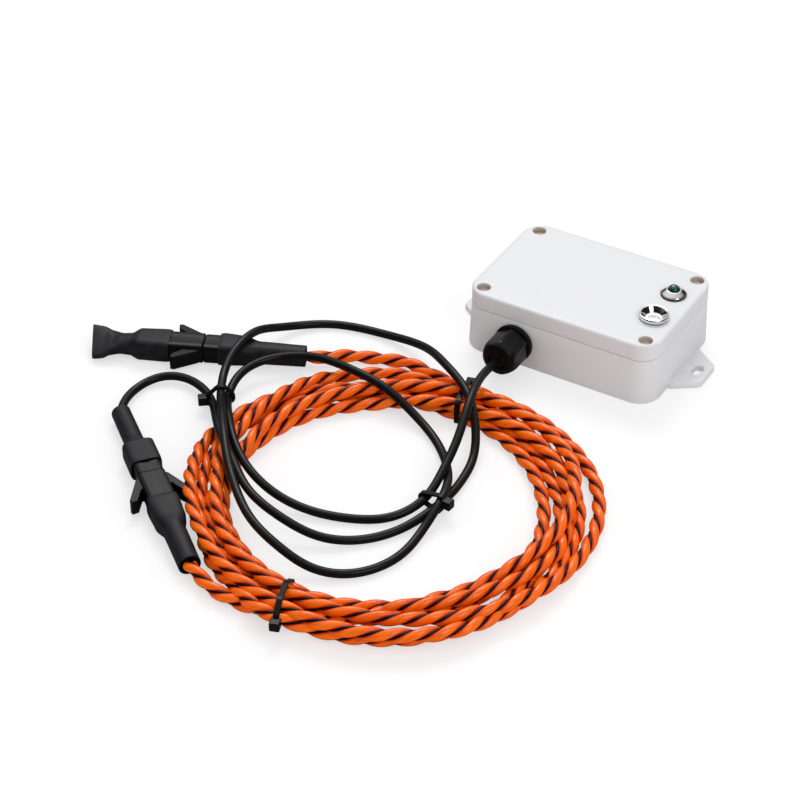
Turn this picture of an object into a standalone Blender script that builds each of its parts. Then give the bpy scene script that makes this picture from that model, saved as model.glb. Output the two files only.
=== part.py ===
"""Water leak sensor: sealed enclosure, push button, lamp, gland, lead and sensing rope.

The origin is the centre of the enclosure's underside.  +X runs along the long side,
-Y is the side with the cable gland, +Z is up and z = 0 is the surface it lies on.
All sizes are in millimetres here and become metres when a mesh is made.
"""
import math

import bmesh
import bpy
import numpy as np

MM = 0.001
GAP = 0.3                      # clearance between neighbouring pieces
ROUND = 26                     # sides of the round pieces
CORNER_STEPS = 7               # steps in each corner of the enclosure

# Enclosure
BOX_LENGTH = 94.0
BOX_WIDTH = 66.0
BOX_HEIGHT = 31.0
PARTING_Z = 22.8
BASE_DRAFT = 0.95              # growth of the base per side from the parting line down
CORNER_RADIUS = 10.0
LID_EDGE = 1.5
WALL = 2.5
FLOOR = 2.5
LID_THICKNESS = 2.5
SCREW_X = BOX_LENGTH / 2 - 6.6
SCREW_Y = BOX_WIDTH / 2 - 6.0
BOSS_DIAMETER = 8.0
PILOT_DIAMETER = 3.4
RECESS_DIAMETER = 6.6
SEAT_THICKNESS = 2.5           # lid under a screw's head
RECESS_DEPTH = BOX_HEIGHT - PARTING_Z - SEAT_THICKNESS
LID_SCREW_SHANK = 2.8
LID_SCREW_HEAD = 5.2
LID_SCREW_HEAD_HEIGHT = 2.0
LID_SCREW_LENGTH = 14.0
PILOT_ROOM = 3.5               # pilot hole left under a screw's end

# Mounting ears
EAR_TIP_X = BOX_LENGTH / 2 + 13.5
EAR_TIP_HALF = 8.8
EAR_ROOT_HALF = 15.5
EAR_THICKNESS = 3.0
SLOT_X = BOX_LENGTH / 2 + 8.2
SLOT_WIDTH = 4.4
SLOT_LENGTH = 7.6

# Lamp
LED_X = BOX_LENGTH / 2 - 11.0
LED_Y = 11.0
LED_BASE = 12.0
LED_CONE_TOP = 6.4
LED_CONE_HEIGHT = 2.9
LED_LENS = 5.0
LED_LENS_TOP = 5.1
LED_THREAD = 8.0

# Push button
BUTTON_X = BOX_LENGTH / 2 - 11.0
BUTTON_Y = -9.5
BUTTON_RING = 13.4
BUTTON_RING_HEIGHT = 2.4
BUTTON_CAP = 9.0
BUTTON_TRAVEL = 1.2
BUTTON_THREAD = 12.0
BUTTON_BODY_DEPTH = 19.0

# Cable gland
GLAND_X = -20.0
GLAND_Z = 12.5
GLAND_FLANGE = 17.3
GLAND_HEX = 14.6
GLAND_THREAD = 12.0
GLAND_FACE_Y = -51.0
GLAND_INNER_Y = -25.4

# Board and what it carries
BOARD_X = (-SCREW_X + BOSS_DIAMETER / 2 + 0.5, BUTTON_X - BUTTON_THREAD / 2)
BOARD_HALF = 22.0
BOARD_Z = FLOOR + 2.9
BOARD_THICKNESS = 1.6
BOARD_SCREW_X = (BOARD_X[0] + 3.0, BOARD_X[1] - 3.0)
BOARD_SCREW_Y = 19.4
BOARD_SCREW_HEAD = 3.8
CELL_DIAMETER = 14.5
CELL_LENGTH = 50.5
HOLDER_LENGTH = CELL_LENGTH + 7.5
HOLDER_WIDTH = 2 * CELL_DIAMETER + 2.0
HOLDER_MIDDLE = (WALL - BOX_LENGTH / 2 + BUTTON_X - BUTTON_THREAD / 2 + 0.6) / 2
HOLDER_BACK = BOARD_SCREW_Y - BOARD_SCREW_HEAD / 2 - GAP
HOLDER_HEIGHT = 12.5
TERMINAL_X = (GLAND_X - 2.5, GLAND_X + 6.5)
TERMINAL_Y = (-20.9, HOLDER_BACK - HOLDER_WIDTH - 0.4)
RADIO_X = (GLAND_X + 16.0, GLAND_X + 36.0)

# Lead, rope and coil
LEAD_DIAMETER = 3.8
ROPE_DIAMETER = 6.2
COIL_CENTRE = (-18.5, -149.5)
COIL_OUTER = 88.0
COIL_INNER = 65.0
COIL_HEIGHT = 10.3
TIE_WIDTH = 2.5
TIE_THICKNESS = 1.0

# Plugs: start of the axis and its direction in plan
PLUG_A_START = (-148.6, -158.6)
PLUG_A_ANGLE = math.radians(-39.0)
PLUG_B_START = (-190.4, -122.8)
PLUG_B_ANGLE = math.radians(24.2)
BOOT_WIDTH = 14.0
BOOT_HEIGHT = 11.0
SHELL_WIDTH = 12.0
SHELL_LOW = 0.7
SHELL_HIGH = 10.3
SLEEVE_DIAMETER = 9.5
WING_REACH = 13.0

# Route of the lead from the gland to the first plug: three passes through two ties
LEAD_ROUTE = (
    (-20, -51.3, 12.5), (-20, -54.5, 12.6), (-20, -58.5, 13.1), (-18.5, -67, 15.8),
    (-15.5, -80, 18), (-12, -92, 17.4), (-9, -103, 13.6), (-7.5, -109, 11.8), (-4.5, -130, 7),
    (-3.5, -137, 5.5), (-4, -144, 4), (-7, -151, 3.1), (-11, -157.5, 2.1), (-21.5, -164.5, 2),
    (-36, -170, 2.3), (-48.5, -172.5, 3.7), (-62, -172.5, 6.7), (-74.5, -169, 10.2),
    (-80.5, -165.5, 11.3), (-86.5, -160.5, 12.4), (-92.5, -155, 13.1), (-98.5, -147.5, 13.7),
    (-103, -142, 12.2), (-110, -132.5, 7), (-115.5, -123.5, 5.2), (-118, -113.5, 7.1), (-117, -105.5, 8),
    (-95, -86, 9.4), (-80, -88.5, 12.2), (-64.5, -91, 13.2), (-52, -92, 11.1), (-36.5, -95, 4.5),
    (-24.5, -100.5, 2.3), (-15, -108.5, 2.1), (-8.5, -116, 3.1), (-2.5, -125, 4.8),
    (2, -135, 7.4), (4, -143, 7.7), (4, -148.5, 5.6), (4, -162.5, 2.1), (4.5, -171, 2),
    (-4.5, -193, 2), (-13.5, -200, 2.5), (-25, -203.5, 4.8), (-37, -202.5, 8.5),
    (-50, -199.5, 11.3), (-68.5, -186.5, 13.2), (-77, -178.5, 14.4), (-84, -171, 16),
    (-90.5, -163, 17.4), (-97, -154.5, 17.8), (-106.5, -142, 13.6), (-119, -123.5, 9.2),
    (-122.5, -116.5, 10.3), (-124.5, -109.5, 11.9), (-125.5, -99, 13.3), (-125.5, -88, 13.1), (-124.5, -74, 6.6),
    (-118.5, -62, 2.8), (-109.5, -53.5, 2), (-96, -48.5, 2), (-79, -47, 2.5), (-63.5, -49.5, 5.7),
    (-51.5, -55.5, 9.6), (-39, -66, 14.2), (-24.5, -75, 14.2), (-12.5, -86, 12.3),
    (-4.5, -97.5, 6.1), (-1.5, -103.5, 3), (0.5, -111.5, 2), (1.5, -120.5, 2), (2.5, -130, 2.2),
    (2, -139, 3.1), (0.5, -147.5, 2.8), (-4.5, -162, 2), (-21, -181, 2.8), (-31.5, -186, 4.7),
    (-43, -187, 7.9), (-65, -183, 12.1), (-73, -177.5, 12.6), (-80.5, -170.5, 12.8),
    (-88, -164.5, 12.9), (-95.5, -158.5, 13.3), (-105.5, -147.5, 11.2), (-115.5, -135, 6),
    (-121, -129.5, 5.3), (-125.5, -126.5, 4.7), (-132.5, -123, 3.6), (-138, -121.5, 3.5),
    (-143, -122, 3.8), (-148, -124, 3.6), (-153, -129, 2.8), (-155.5, -137.5, 1.9),
    (-154.5, -146.5, 3), (-152, -153.5, 4.1), (-149.1, -158.1, 4.35))


def clear_scene():
    for old in list(bpy.data.objects):
        bpy.data.objects.remove(old, do_unlink=True)


def material(name, colour, roughness, metallic=0.0):
    mat = bpy.data.materials.get(name)
    if mat is None:
        mat = bpy.data.materials.new(name)
        mat.use_nodes = True
        shader = mat.node_tree.nodes["Principled BSDF"]
        shader.inputs["Base Color"].default_value = (*colour, 1.0)
        shader.inputs["Roughness"].default_value = roughness
        shader.inputs["Metallic"].default_value = metallic
    return mat


MATERIALS = {
    "white_plastic": ((0.78, 0.79, 0.81), 0.45, 0.0),
    "black_nylon": ((0.012, 0.012, 0.014), 0.38, 0.0),
    "black_shrink": ((0.018, 0.017, 0.019), 0.5, 0.0),
    "black_jacket": ((0.015, 0.015, 0.018), 0.4, 0.0),
    "black_rubber": ((0.02, 0.02, 0.02), 0.7, 0.0),
    "orange_plastic": ((0.95, 0.14, 0.005), 0.35, 0.0),
    "chrome": ((0.82, 0.82, 0.82), 0.08, 1.0),
    "steel": ((0.55, 0.55, 0.56), 0.3, 1.0),
    "green_lens": ((0.0, 0.09, 0.04), 0.12, 0.0),
    "board_green": ((0.02, 0.16, 0.06), 0.5, 0.0),
    "grey_plastic": ((0.12, 0.12, 0.13), 0.5, 0.0),
    "cell_sleeve": ((0.1, 0.12, 0.2), 0.3, 0.0),
    "blue_plastic": ((0.02, 0.12, 0.3), 0.45, 0.0),
    "silicone": ((0.5, 0.5, 0.5), 0.7, 0.0),
}


def finish(obj, finish_name, angle=35.0):
    obj.data.materials.append(material(finish_name, *MATERIALS[finish_name]))
    if obj.type == "MESH":
        obj.data.shade_smooth()
        obj.data.set_sharp_from_angle(angle=math.radians(angle))
    return obj


def link(name, mesh, location=(0.0, 0.0, 0.0), rotation=(0.0, 0.0, 0.0)):
    obj = bpy.data.objects.new(name, mesh)
    bpy.context.scene.collection.objects.link(obj)
    obj.location = [v * MM for v in location]
    obj.rotation_euler = rotation
    return obj


def mesh_from(name, build):
    work = bmesh.new()
    build(work)
    bmesh.ops.scale(work, vec=(MM, MM, MM), verts=work.verts)
    bmesh.ops.recalc_face_normals(work, faces=work.faces)
    mesh = bpy.data.meshes.new(name)
    work.to_mesh(mesh)
    work.free()
    return mesh


def rounded_rect(length, width, radius, steps=8):
    """Outline of a rectangle with round corners, counter-clockwise."""
    points = []
    for quarter, (sx, sy) in enumerate(((1, 1), (-1, 1), (-1, -1), (1, -1))):
        cx = sx * (length / 2 - radius)
        cy = sy * (width / 2 - radius)
        for i in range(steps + 1):
            angle = math.radians(90.0) * (quarter + i / steps)
            points.append((cx + radius * math.cos(angle), cy + radius * math.sin(angle)))
    return points


def polygon(count, across_flats, turn=0.0):
    radius = across_flats / 2 / math.cos(math.pi / count)
    return [(radius * math.cos(turn + 2 * math.pi * i / count),
             radius * math.sin(turn + 2 * math.pi * i / count)) for i in range(count)]


def add_loft(work, rings):
    """Skin a list of rings with the same number of points and cap both ends."""
    rows = [[work.verts.new(p) for p in ring] for ring in rings]
    count = len(rows[0])
    for low, high in zip(rows, rows[1:]):
        for i in range(count):
            j = (i + 1) % count
            work.faces.new((low[i], low[j], high[j], high[i]))
    work.faces.new(list(reversed(rows[0])))
    work.faces.new(rows[-1])


def loft(name, rings, location=(0, 0, 0), rotation=(0, 0, 0)):
    return link(name, mesh_from(name, lambda work: add_loft(work, rings)), location, rotation)


def prism(name, outline, low, high, location=(0, 0, 0), rotation=(0, 0, 0)):
    rings = [[(x, y, z) for x, y in outline] for z in (low, high)]
    return loft(name, rings, location, rotation)


def block(name, low, high, location=(0, 0, 0), rotation=(0, 0, 0)):
    outline = ((low[0], low[1]), (high[0], low[1]), (high[0], high[1]), (low[0], high[1]))
    return prism(name, outline, low[2], high[2], location, rotation)


def add_turned(work, profile, steps):
    """Revolve a profile of (radius, height) round Z; it closes on itself or on the axis."""
    steps = round(steps)
    rows = []
    for radius, height in profile:
        if radius < 1e-6:
            rows.append([work.verts.new((0.0, 0.0, height))])
        else:
            rows.append([work.verts.new((radius * math.cos(2 * math.pi * i / steps),
                                         radius * math.sin(2 * math.pi * i / steps), height))
                         for i in range(steps)])
    pairs = list(zip(rows, rows[1:]))
    if len(rows[0]) > 1 and len(rows[-1]) > 1:
        pairs.append((rows[-1], rows[0]))
    for low, high in pairs:
        for i in range(steps):
            j = (i + 1) % steps
            if len(low) == 1 and len(high) == 1:
                continue
            if len(low) == 1:
                work.faces.new((low[0], high[j], high[i]))
            elif len(high) == 1:
                work.faces.new((low[i], low[j], high[0]))
            else:
                work.faces.new((low[i], low[j], high[j], high[i]))


def turned(name, profile, steps=32, location=(0, 0, 0), rotation=(0, 0, 0)):
    mesh = mesh_from(name, lambda work: add_turned(work, profile, steps))
    return link(name, mesh, location, rotation)


def rod(name, radius, low, high, steps=24, location=(0, 0, 0), rotation=(0, 0, 0)):
    return turned(name, [(0, low), (radius, low), (radius, high), (0, high)],
                  steps, location, rotation)


def combine(target, tool, operation):
    """Cut, join or intersect the target with a hidden tool piece."""
    tool.hide_render = True
    tool.display_type = "WIRE"
    step = target.modifiers.new(operation.lower(), "BOOLEAN")
    step.operation = operation
    step.object = tool
    step.solver = "EXACT"
    return target


def cut(target, tool):
    return combine(target, tool, "DIFFERENCE")


def join(target, tool):
    return combine(target, tool, "UNION")


def tube(name, points, diameter, resolution=2):
    """A round lead along a smooth list of points, with flat ends."""
    curve = bpy.data.curves.new(name, "CURVE")
    curve.dimensions = "3D"
    curve.bevel_depth = diameter / 2 * MM
    curve.bevel_resolution = resolution
    curve.use_fill_caps = True
    curve.render_resolution_u = 0
    spline = curve.splines.new("POLY")
    spline.points.add(len(points) - 1)
    for point, place in zip(spline.points, points):
        point.co = (place[0] * MM, place[1] * MM, place[2] * MM, 1.0)
    obj = bpy.data.objects.new(name, curve)
    bpy.context.scene.collection.objects.link(obj)
    return obj


def smooth_path(route, count):
    """Read points from a natural cubic spline through the route, closer in its bends."""
    knots = np.array(route, dtype=float)
    chord = np.sqrt(np.linalg.norm(np.diff(knots, axis=0), axis=1))
    place = np.concatenate(([0.0], np.cumsum(chord)))
    size = len(knots)
    system = np.zeros((size, size))
    right = np.zeros((size, 3))
    system[0, 0] = 1.0
    system[-1, -1] = 1.0
    for i in range(1, size - 1):
        before = place[i] - place[i - 1]
        after = place[i + 1] - place[i]
        system[i, i - 1] = before
        system[i, i] = 2 * (before + after)
        system[i, i + 1] = after
        right[i] = 6 * ((knots[i + 1] - knots[i]) / after - (knots[i] - knots[i - 1]) / before)
    bend = np.linalg.solve(system, right)
    fine = []
    for i in range(size - 1):
        step = place[i + 1] - place[i]
        for u in np.linspace(0.0, step, 40, endpoint=False):
            a = step - u
            fine.append((bend[i] * a ** 3 + bend[i + 1] * u ** 3) / (6 * step)
                        + (knots[i] / step - bend[i] * step / 6) * a
                        + (knots[i + 1] / step - bend[i + 1] * step / 6) * u)
    fine.append(knots[-1])
    fine = np.array(fine)
    step = np.diff(fine, axis=0)
    length = np.linalg.norm(step, axis=1)
    heading = step / length[:, None]
    turn = np.linalg.norm(np.diff(heading, axis=0), axis=1) / length[1:]
    turn = np.convolve(np.concatenate((turn[:1], turn)), np.ones(25) / 25, mode="same")
    weight = length * np.sqrt(turn + 0.01)
    run = np.concatenate(([0.0], np.cumsum(weight)))
    even = np.linspace(0.0, run[-1], count)
    return np.stack([np.interp(even, run, fine[:, k]) for k in range(3)], axis=1)


def hull(points):
    """Convex outline of plan points, counter-clockwise."""
    ordered = sorted(set((round(x, 4), round(y, 4)) for x, y in points))

    def half(sequence):
        chain = []
        for p in sequence:
            while len(chain) > 1:
                a, b = chain[-2], chain[-1]
                if (b[0] - a[0]) * (p[1] - a[1]) - (b[1] - a[1]) * (p[0] - a[0]) > 1e-6:
                    break
                chain.pop()
            chain.append(p)
        return chain[:-1]

    return half(ordered) + half(reversed(ordered))


def around(centres, radius, steps=16):
    """Convex outline round circles of one radius."""
    points = []
    for cx, cy in centres:
        for i in range(steps):
            angle = 2 * math.pi * (i + 0.5) / steps
            points.append((cx + radius * math.cos(angle), cy + radius * math.sin(angle)))
    return hull(points)


# Enclosure

def wall_half(z):
    """Half width of the base's outside at a height, along Y."""
    return BOX_WIDTH / 2 + BASE_DRAFT * (1 - z / PARTING_Z)


def base_housing():
    top = PARTING_Z - GAP / 2
    rings = []
    for z in (0.0, 0.8, top):
        grow = BASE_DRAFT * (1 - z / PARTING_Z)
        inset = 0.5 if z == 0.0 else 0.0
        outline = rounded_rect(BOX_LENGTH + 2 * (grow - inset), BOX_WIDTH + 2 * (grow - inset),
                               CORNER_RADIUS + grow - inset, CORNER_STEPS)
        rings.append([(x, y, z) for x, y in outline])
    base = loft("base_housing", rings)
    pocket = prism("base_pocket", rounded_rect(BOX_LENGTH - 2 * WALL, BOX_WIDTH - 2 * WALL,
                                               CORNER_RADIUS - WALL, CORNER_STEPS), FLOOR, top + 5)
    cut(base, pocket)
    reach = BOX_LENGTH / 2 - 1.0
    for side in (-1, 1):
        corner = 2.5
        outline = [(reach, -EAR_ROOT_HALF), (reach + 3.2, -EAR_ROOT_HALF)]
        for cy, start in ((-(EAR_TIP_HALF - corner), -60.0), (EAR_TIP_HALF - corner, 0.0)):
            for i in range(7):
                angle = math.radians(start + 10.0 * i)
                outline.append((EAR_TIP_X - corner + corner * math.cos(angle),
                                cy + corner * math.sin(angle)))
        outline += [(reach + 3.2, EAR_ROOT_HALF), (reach, EAR_ROOT_HALF)]
        turn = 0.0 if side > 0 else math.pi
        ear = prism(f"ear_{'right' if side > 0 else 'left'}", outline, 0.0, EAR_THICKNESS,
                    rotation=(0, 0, turn))
        join(base, ear)
    for side in (-1, 1):
        slot = prism(f"slot_{'right' if side > 0 else 'left'}",
                     rounded_rect(SLOT_WIDTH, SLOT_LENGTH, SLOT_WIDTH / 2 - 0.01, 6),
                     -2.0, EAR_THICKNESS + 2.0, (side * SLOT_X, 0, 0))
        cut(base, slot)
    pilot_low = BOX_HEIGHT - RECESS_DEPTH + GAP - LID_SCREW_LENGTH - PILOT_ROOM
    for sx in (-1, 1):
        for sy in (-1, 1):
            tag = f"{'r' if sx > 0 else 'l'}{'b' if sy > 0 else 'f'}"
            place = (sx * SCREW_X, sy * SCREW_Y, 0)
            join(base, rod(f"boss_{tag}", BOSS_DIAMETER / 2, 1.0, top - 0.2, 18, place))
            cut(base, rod(f"pilot_{tag}", PILOT_DIAMETER / 2, pilot_low, top + 3, 12, place))
    for x in BOARD_SCREW_X:
        for sy in (-1, 1):
            tag = f"{'l' if x < 0 else 'r'}{'b' if sy > 0 else 'f'}"
            place = (x, sy * BOARD_SCREW_Y, 0)
            join(base, rod(f"post_{tag}", 2.6, 1.0, BOARD_Z - GAP, 16, place))
            cut(base, rod(f"post_hole_{tag}", 1.15, 1.2, BOARD_Z + 3, 12, place))
    hole = rod("gland_hole", GLAND_THREAD / 2 + GAP, 20.0, 40.0, 32,
               (GLAND_X, 0, GLAND_Z), (math.radians(90), 0, 0))
    cut(base, hole)
    return finish(base, "white_plastic")


def lid():
    low = PARTING_Z + GAP / 2
    rings = []
    for z, inset in ((low, 0.0), (BOX_HEIGHT - LID_EDGE, 0.0)):
        rings.append((z, inset))
    for i in range(1, 4):
        angle = math.radians(30.0 * i)
        rings.append((BOX_HEIGHT - LID_EDGE * (1 - math.sin(angle)),
                      LID_EDGE * (1 - math.cos(angle))))
    shell = loft("lid", [[(x, y, z) for x, y in
                          rounded_rect(BOX_LENGTH - 2 * s, BOX_WIDTH - 2 * s,
                                       CORNER_RADIUS - s, CORNER_STEPS)] for z, s in rings])
    ceiling = BOX_HEIGHT - LID_THICKNESS
    pocket = prism("lid_pocket", rounded_rect(BOX_LENGTH - 2 * WALL, BOX_WIDTH - 2 * WALL,
                                              CORNER_RADIUS - WALL, CORNER_STEPS), low - 5, ceiling)
    cut(shell, pocket)
    for sx in (-1, 1):
        for sy in (-1, 1):
            tag = f"{'r' if sx > 0 else 'l'}{'b' if sy > 0 else 'f'}"
            place = (sx * SCREW_X, sy * SCREW_Y, 0)
            join(shell, rod(f"column_{tag}", BOSS_DIAMETER / 2, low + 0.2, ceiling + 1, 18, place))
            profile = [(0, low - 1), (PILOT_DIAMETER / 2, low - 1),
                       (PILOT_DIAMETER / 2, BOX_HEIGHT - RECESS_DEPTH),
                       (RECESS_DIAMETER / 2, BOX_HEIGHT - RECESS_DEPTH),
                       (RECESS_DIAMETER / 2, BOX_HEIGHT + 1), (0, BOX_HEIGHT + 1)]
            cut(shell, turned(f"recess_{tag}", profile, 20, place))
    cut(shell, rod("led_hole", LED_THREAD / 2 + GAP, ceiling - 2, BOX_HEIGHT + 2, 20,
                   (LED_X, LED_Y, 0)))
    cut(shell, rod("button_hole", BUTTON_THREAD / 2 + GAP, ceiling - 2, BOX_HEIGHT + 2, 24,
                   (BUTTON_X, BUTTON_Y, 0)))
    middle = WALL / 2
    groove = ring_prism("seal_groove", middle - 0.7, middle + 0.7, low - 1, low + 1.5)
    cut(shell, groove)
    return finish(shell, "white_plastic")


def add_band(work, outer, inner, low, high):
    """A closed band between two outlines with the same number of points."""
    count = len(outer)
    rows = []
    for outline, z in ((outer, low), (outer, high), (inner, high), (inner, low)):
        rows.append([work.verts.new((x, y, z)) for x, y in outline])
    for a, b in zip(rows, rows[1:] + rows[:1]):
        for i in range(count):
            j = (i + 1) % count
            work.faces.new((a[i], a[j], b[j], b[i]))


def band(name, outer, inner, low, high, location=(0, 0, 0), rotation=(0, 0, 0)):
    mesh = mesh_from(name, lambda work: add_band(work, outer, inner, low, high))
    return link(name, mesh, location, rotation)


def ring_prism(name, inset_outer, inset_inner, low, high):
    outlines = [rounded_rect(BOX_LENGTH - 2 * s, BOX_WIDTH - 2 * s, CORNER_RADIUS - s, 5)
                for s in (inset_outer, inset_inner)]
    return band(name, outlines[0], outlines[1], low, high)


def lid_gasket():
    low = PARTING_Z + GAP / 2
    seal = ring_prism("lid_gasket", WALL / 2 - 0.4, WALL / 2 + 0.4, low, low + 1.2)
    return finish(seal, "silicone")


def cross_screw(name, head, head_height, shank, length, place, top, finish_name="steel"):
    """Pan-head screw with a cross recess, its head top at the given height."""
    crown = 0.25 * head_height
    profile = [(0, top - head_height - length - shank * 0.4),
               (shank / 2, top - head_height - length),
               (shank / 2, top - head_height), (head / 2, top - head_height),
               (head / 2, top - crown), (head * 0.36, top), (0, top)]
    screw = turned(name, profile, 12, place)
    arm = head * 0.24
    half = head * 0.07
    depth = head_height * 0.55
    outline = [(arm, -half), (arm, half), (half, half), (half, arm), (-half, arm),
               (-half, half), (-arm, half), (-arm, -half), (-half, -half), (-half, -arm),
               (half, -arm), (half, -half)]
    cut(screw, prism(f"{name}_cross", outline, top - depth, top + 1, place))
    return finish(screw, finish_name)


def lid_screws():
    number = 0
    for sy in (-1, 1):
        for sx in (-1, 1):
            number += 1
            cross_screw(f"lid_screw_{number}", LID_SCREW_HEAD, LID_SCREW_HEAD_HEIGHT,
                        LID_SCREW_SHANK, LID_SCREW_LENGTH, (sx * SCREW_X, sy * SCREW_Y, 0),
                        BOX_HEIGHT - RECESS_DEPTH + GAP + LID_SCREW_HEAD_HEIGHT)


# Lamp

def lamp():
    place = (LED_X, LED_Y, BOX_HEIGHT)
    bore = LED_LENS / 2 + GAP
    thread = LED_THREAD / 2
    gasket = turned("led_gasket", [(thread + GAP, 0.1), (LED_BASE / 2 + 0.3, 0.1),
                                   (LED_BASE / 2 + 0.3, 0.6), (thread + GAP, 0.6)], ROUND, place)
    finish(gasket, "black_rubber")
    low = 0.7
    profile = [(bore, -8.0), (thread, -8.0), (thread, low), (LED_BASE / 2, low),
               (LED_BASE / 2, low + 0.45), (LED_CONE_TOP / 2 + 0.2, LED_CONE_HEIGHT - 0.2),
               (LED_CONE_TOP / 2, LED_CONE_HEIGHT), (bore, LED_CONE_HEIGHT)]
    finish(turned("led_bezel", profile, ROUND, place), "chrome")
    radius = LED_LENS / 2
    dome = LED_LENS_TOP - radius
    lens = [(0, -10.5), (radius, -10.5), (radius, dome)]
    for i in range(1, 5):
        angle = math.radians(22.5 * i)
        lens.append((radius * math.cos(angle) if i < 4 else 0.0, dome + radius * math.sin(angle)))
    finish(turned("led_lens", lens, 20, place), "green_lens")
    nut = band("led_nut", polygon(6, 10.0), polygon(6, LED_THREAD + 2 * GAP + 0.05),
               -LID_THICKNESS - GAP - 2.6, -LID_THICKNESS - GAP, place)
    finish(nut, "steel", 20)


# Push button

def push_button():
    place = (BUTTON_X, BUTTON_Y, BOX_HEIGHT)
    thread = BUTTON_THREAD / 2
    cap = BUTTON_CAP / 2
    bore = cap + GAP
    ring = BUTTON_RING / 2
    high = BUTTON_RING_HEIGHT
    seal = turned("button_gasket", [(thread + GAP, 0.1), (ring - 0.5, 0.1),
                                    (ring - 0.5, 0.5), (thread + GAP, 0.5)], ROUND, place)
    finish(seal, "black_rubber")
    profile = [(bore, -8.0), (thread, -8.0), (thread, 0.6), (ring, 0.6), (ring, high - 0.5),
               (ring - 0.35, high), (ring - 0.7, high), (ring - 1.2, high - 0.4),
               (bore + 0.25, high - 1.25), (bore, high - 1.3)]
    finish(turned("button_bezel", profile, 30, place), "chrome")
    top = high - 1.1
    dish = [(0, -4.6), (2.0, -4.6), (2.0, -3.0), (cap, -3.0), (cap, top - 0.1),
            (cap - 0.3, top), (cap * 0.6, top - 0.3), (0, top - 0.42)]
    finish(turned("button_cap", dish, ROUND, place), "chrome")
    body_low = -BUTTON_BODY_DEPTH
    body = [(0, body_low), (thread - 0.6, body_low), (thread - 0.6, -8.3), (3.7, -8.3),
            (3.7, -7.4), (0, -7.4)]
    finish(turned("button_switch_body", body, 20, place), "grey_plastic")
    spring = [(2.4, -7.1), (3.5, -7.1), (3.5, -3.3), (2.4, -3.3)]
    finish(turned("button_spring", spring, 20, place), "steel")
    turn = math.radians(30)
    nut = band("button_nut", polygon(6, 15.0, turn),
               polygon(6, BUTTON_THREAD + 2 * GAP + 0.05, turn),
               -LID_THICKNESS - GAP - 2.4, -LID_THICKNESS - GAP, place)
    finish(nut, "steel", 20)


# Cable gland, turned round an axis that points out of the front wall

def gland():
    place = (GLAND_X, 0, GLAND_Z)
    turn = (math.radians(90), 0, 0)
    wall = wall_half(GLAND_Z - GLAND_FLANGE / 2) + GAP
    thread = GLAND_THREAD / 2
    flange = GLAND_FLANGE / 2
    face = -GLAND_FACE_Y
    washer = turned("gland_washer", [(thread + GAP, wall), (flange - 0.5, wall),
                                     (flange - 0.5, wall + 0.7), (thread + GAP, wall + 0.7)],
                    ROUND, place, turn)
    finish(washer, "black_rubber")
    back = wall + 1.0
    bore = LEAD_DIAMETER / 2 + GAP + 0.2
    seat = 4.4
    body = [(bore, -GLAND_INNER_Y), (thread, -GLAND_INNER_Y), (thread, back), (flange, back),
            (flange, back + 1.1), (flange - 0.7, back + 1.8), (thread - 0.1, back + 1.8),
            (thread - 0.1, face - 6.3), (seat, face - 6.3), (seat, back + 2.4),
            (bore, back + 2.4)]
    finish(turned("gland_body", body, ROUND, place, turn), "black_nylon")
    start = back + 2.1
    shape = [(0, start), (flange - 0.35, start), (flange - 0.35, face - 5.2)]
    for i in range(1, 6):
        angle = math.radians(18.0 * i)
        shape.append((4.9 + (flange - 0.35 - 4.9) * math.cos(angle) ** 0.8
                      if i < 5 else 4.9, face - 5.2 + 5.2 * math.sin(angle)))
    shape.append((0, face))
    nut = prism("gland_cap_nut", polygon(6, GLAND_HEX, math.radians(30)), start, face,
                place, turn)
    combine(nut, turned("gland_nut_envelope", shape, 36, place, turn), "INTERSECT")
    hollow = [(0, start - 1), (thread + 0.25, start - 1), (thread + 0.25, face - 6.0),
              (seat - 0.05, face - 3.5), (seat - 0.05, face + 1), (0, face + 1)]
    cut(nut, turned("gland_nut_bore", hollow, 24, place, turn))
    finish(nut, "black_nylon", 20)
    seal = [(bore - 0.2, back + 2.8), (seat - GAP, back + 2.8), (seat - GAP, face - 3.6),
            (seat - 0.4, face - 0.6), (seat - 0.9, face), (bore - 0.2, face)]
    finish(turned("gland_seal", seal, 20, place, turn), "black_rubber")
    inner_wall = BOX_WIDTH / 2 - WALL
    nut_in = band("gland_locknut", polygon(6, 15.6), polygon(6, GLAND_THREAD + 2 * GAP + 0.05),
                  inner_wall - GAP - 3.6, inner_wall - GAP, place, turn)
    finish(nut_in, "black_nylon", 20)
    end = face - 0.3
    finish(rod("lead_inner_jacket", LEAD_DIAMETER / 2, -GLAND_INNER_Y - 1.4, end, 16,
               place, turn), "black_jacket")


# Board, cells and radio

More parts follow.
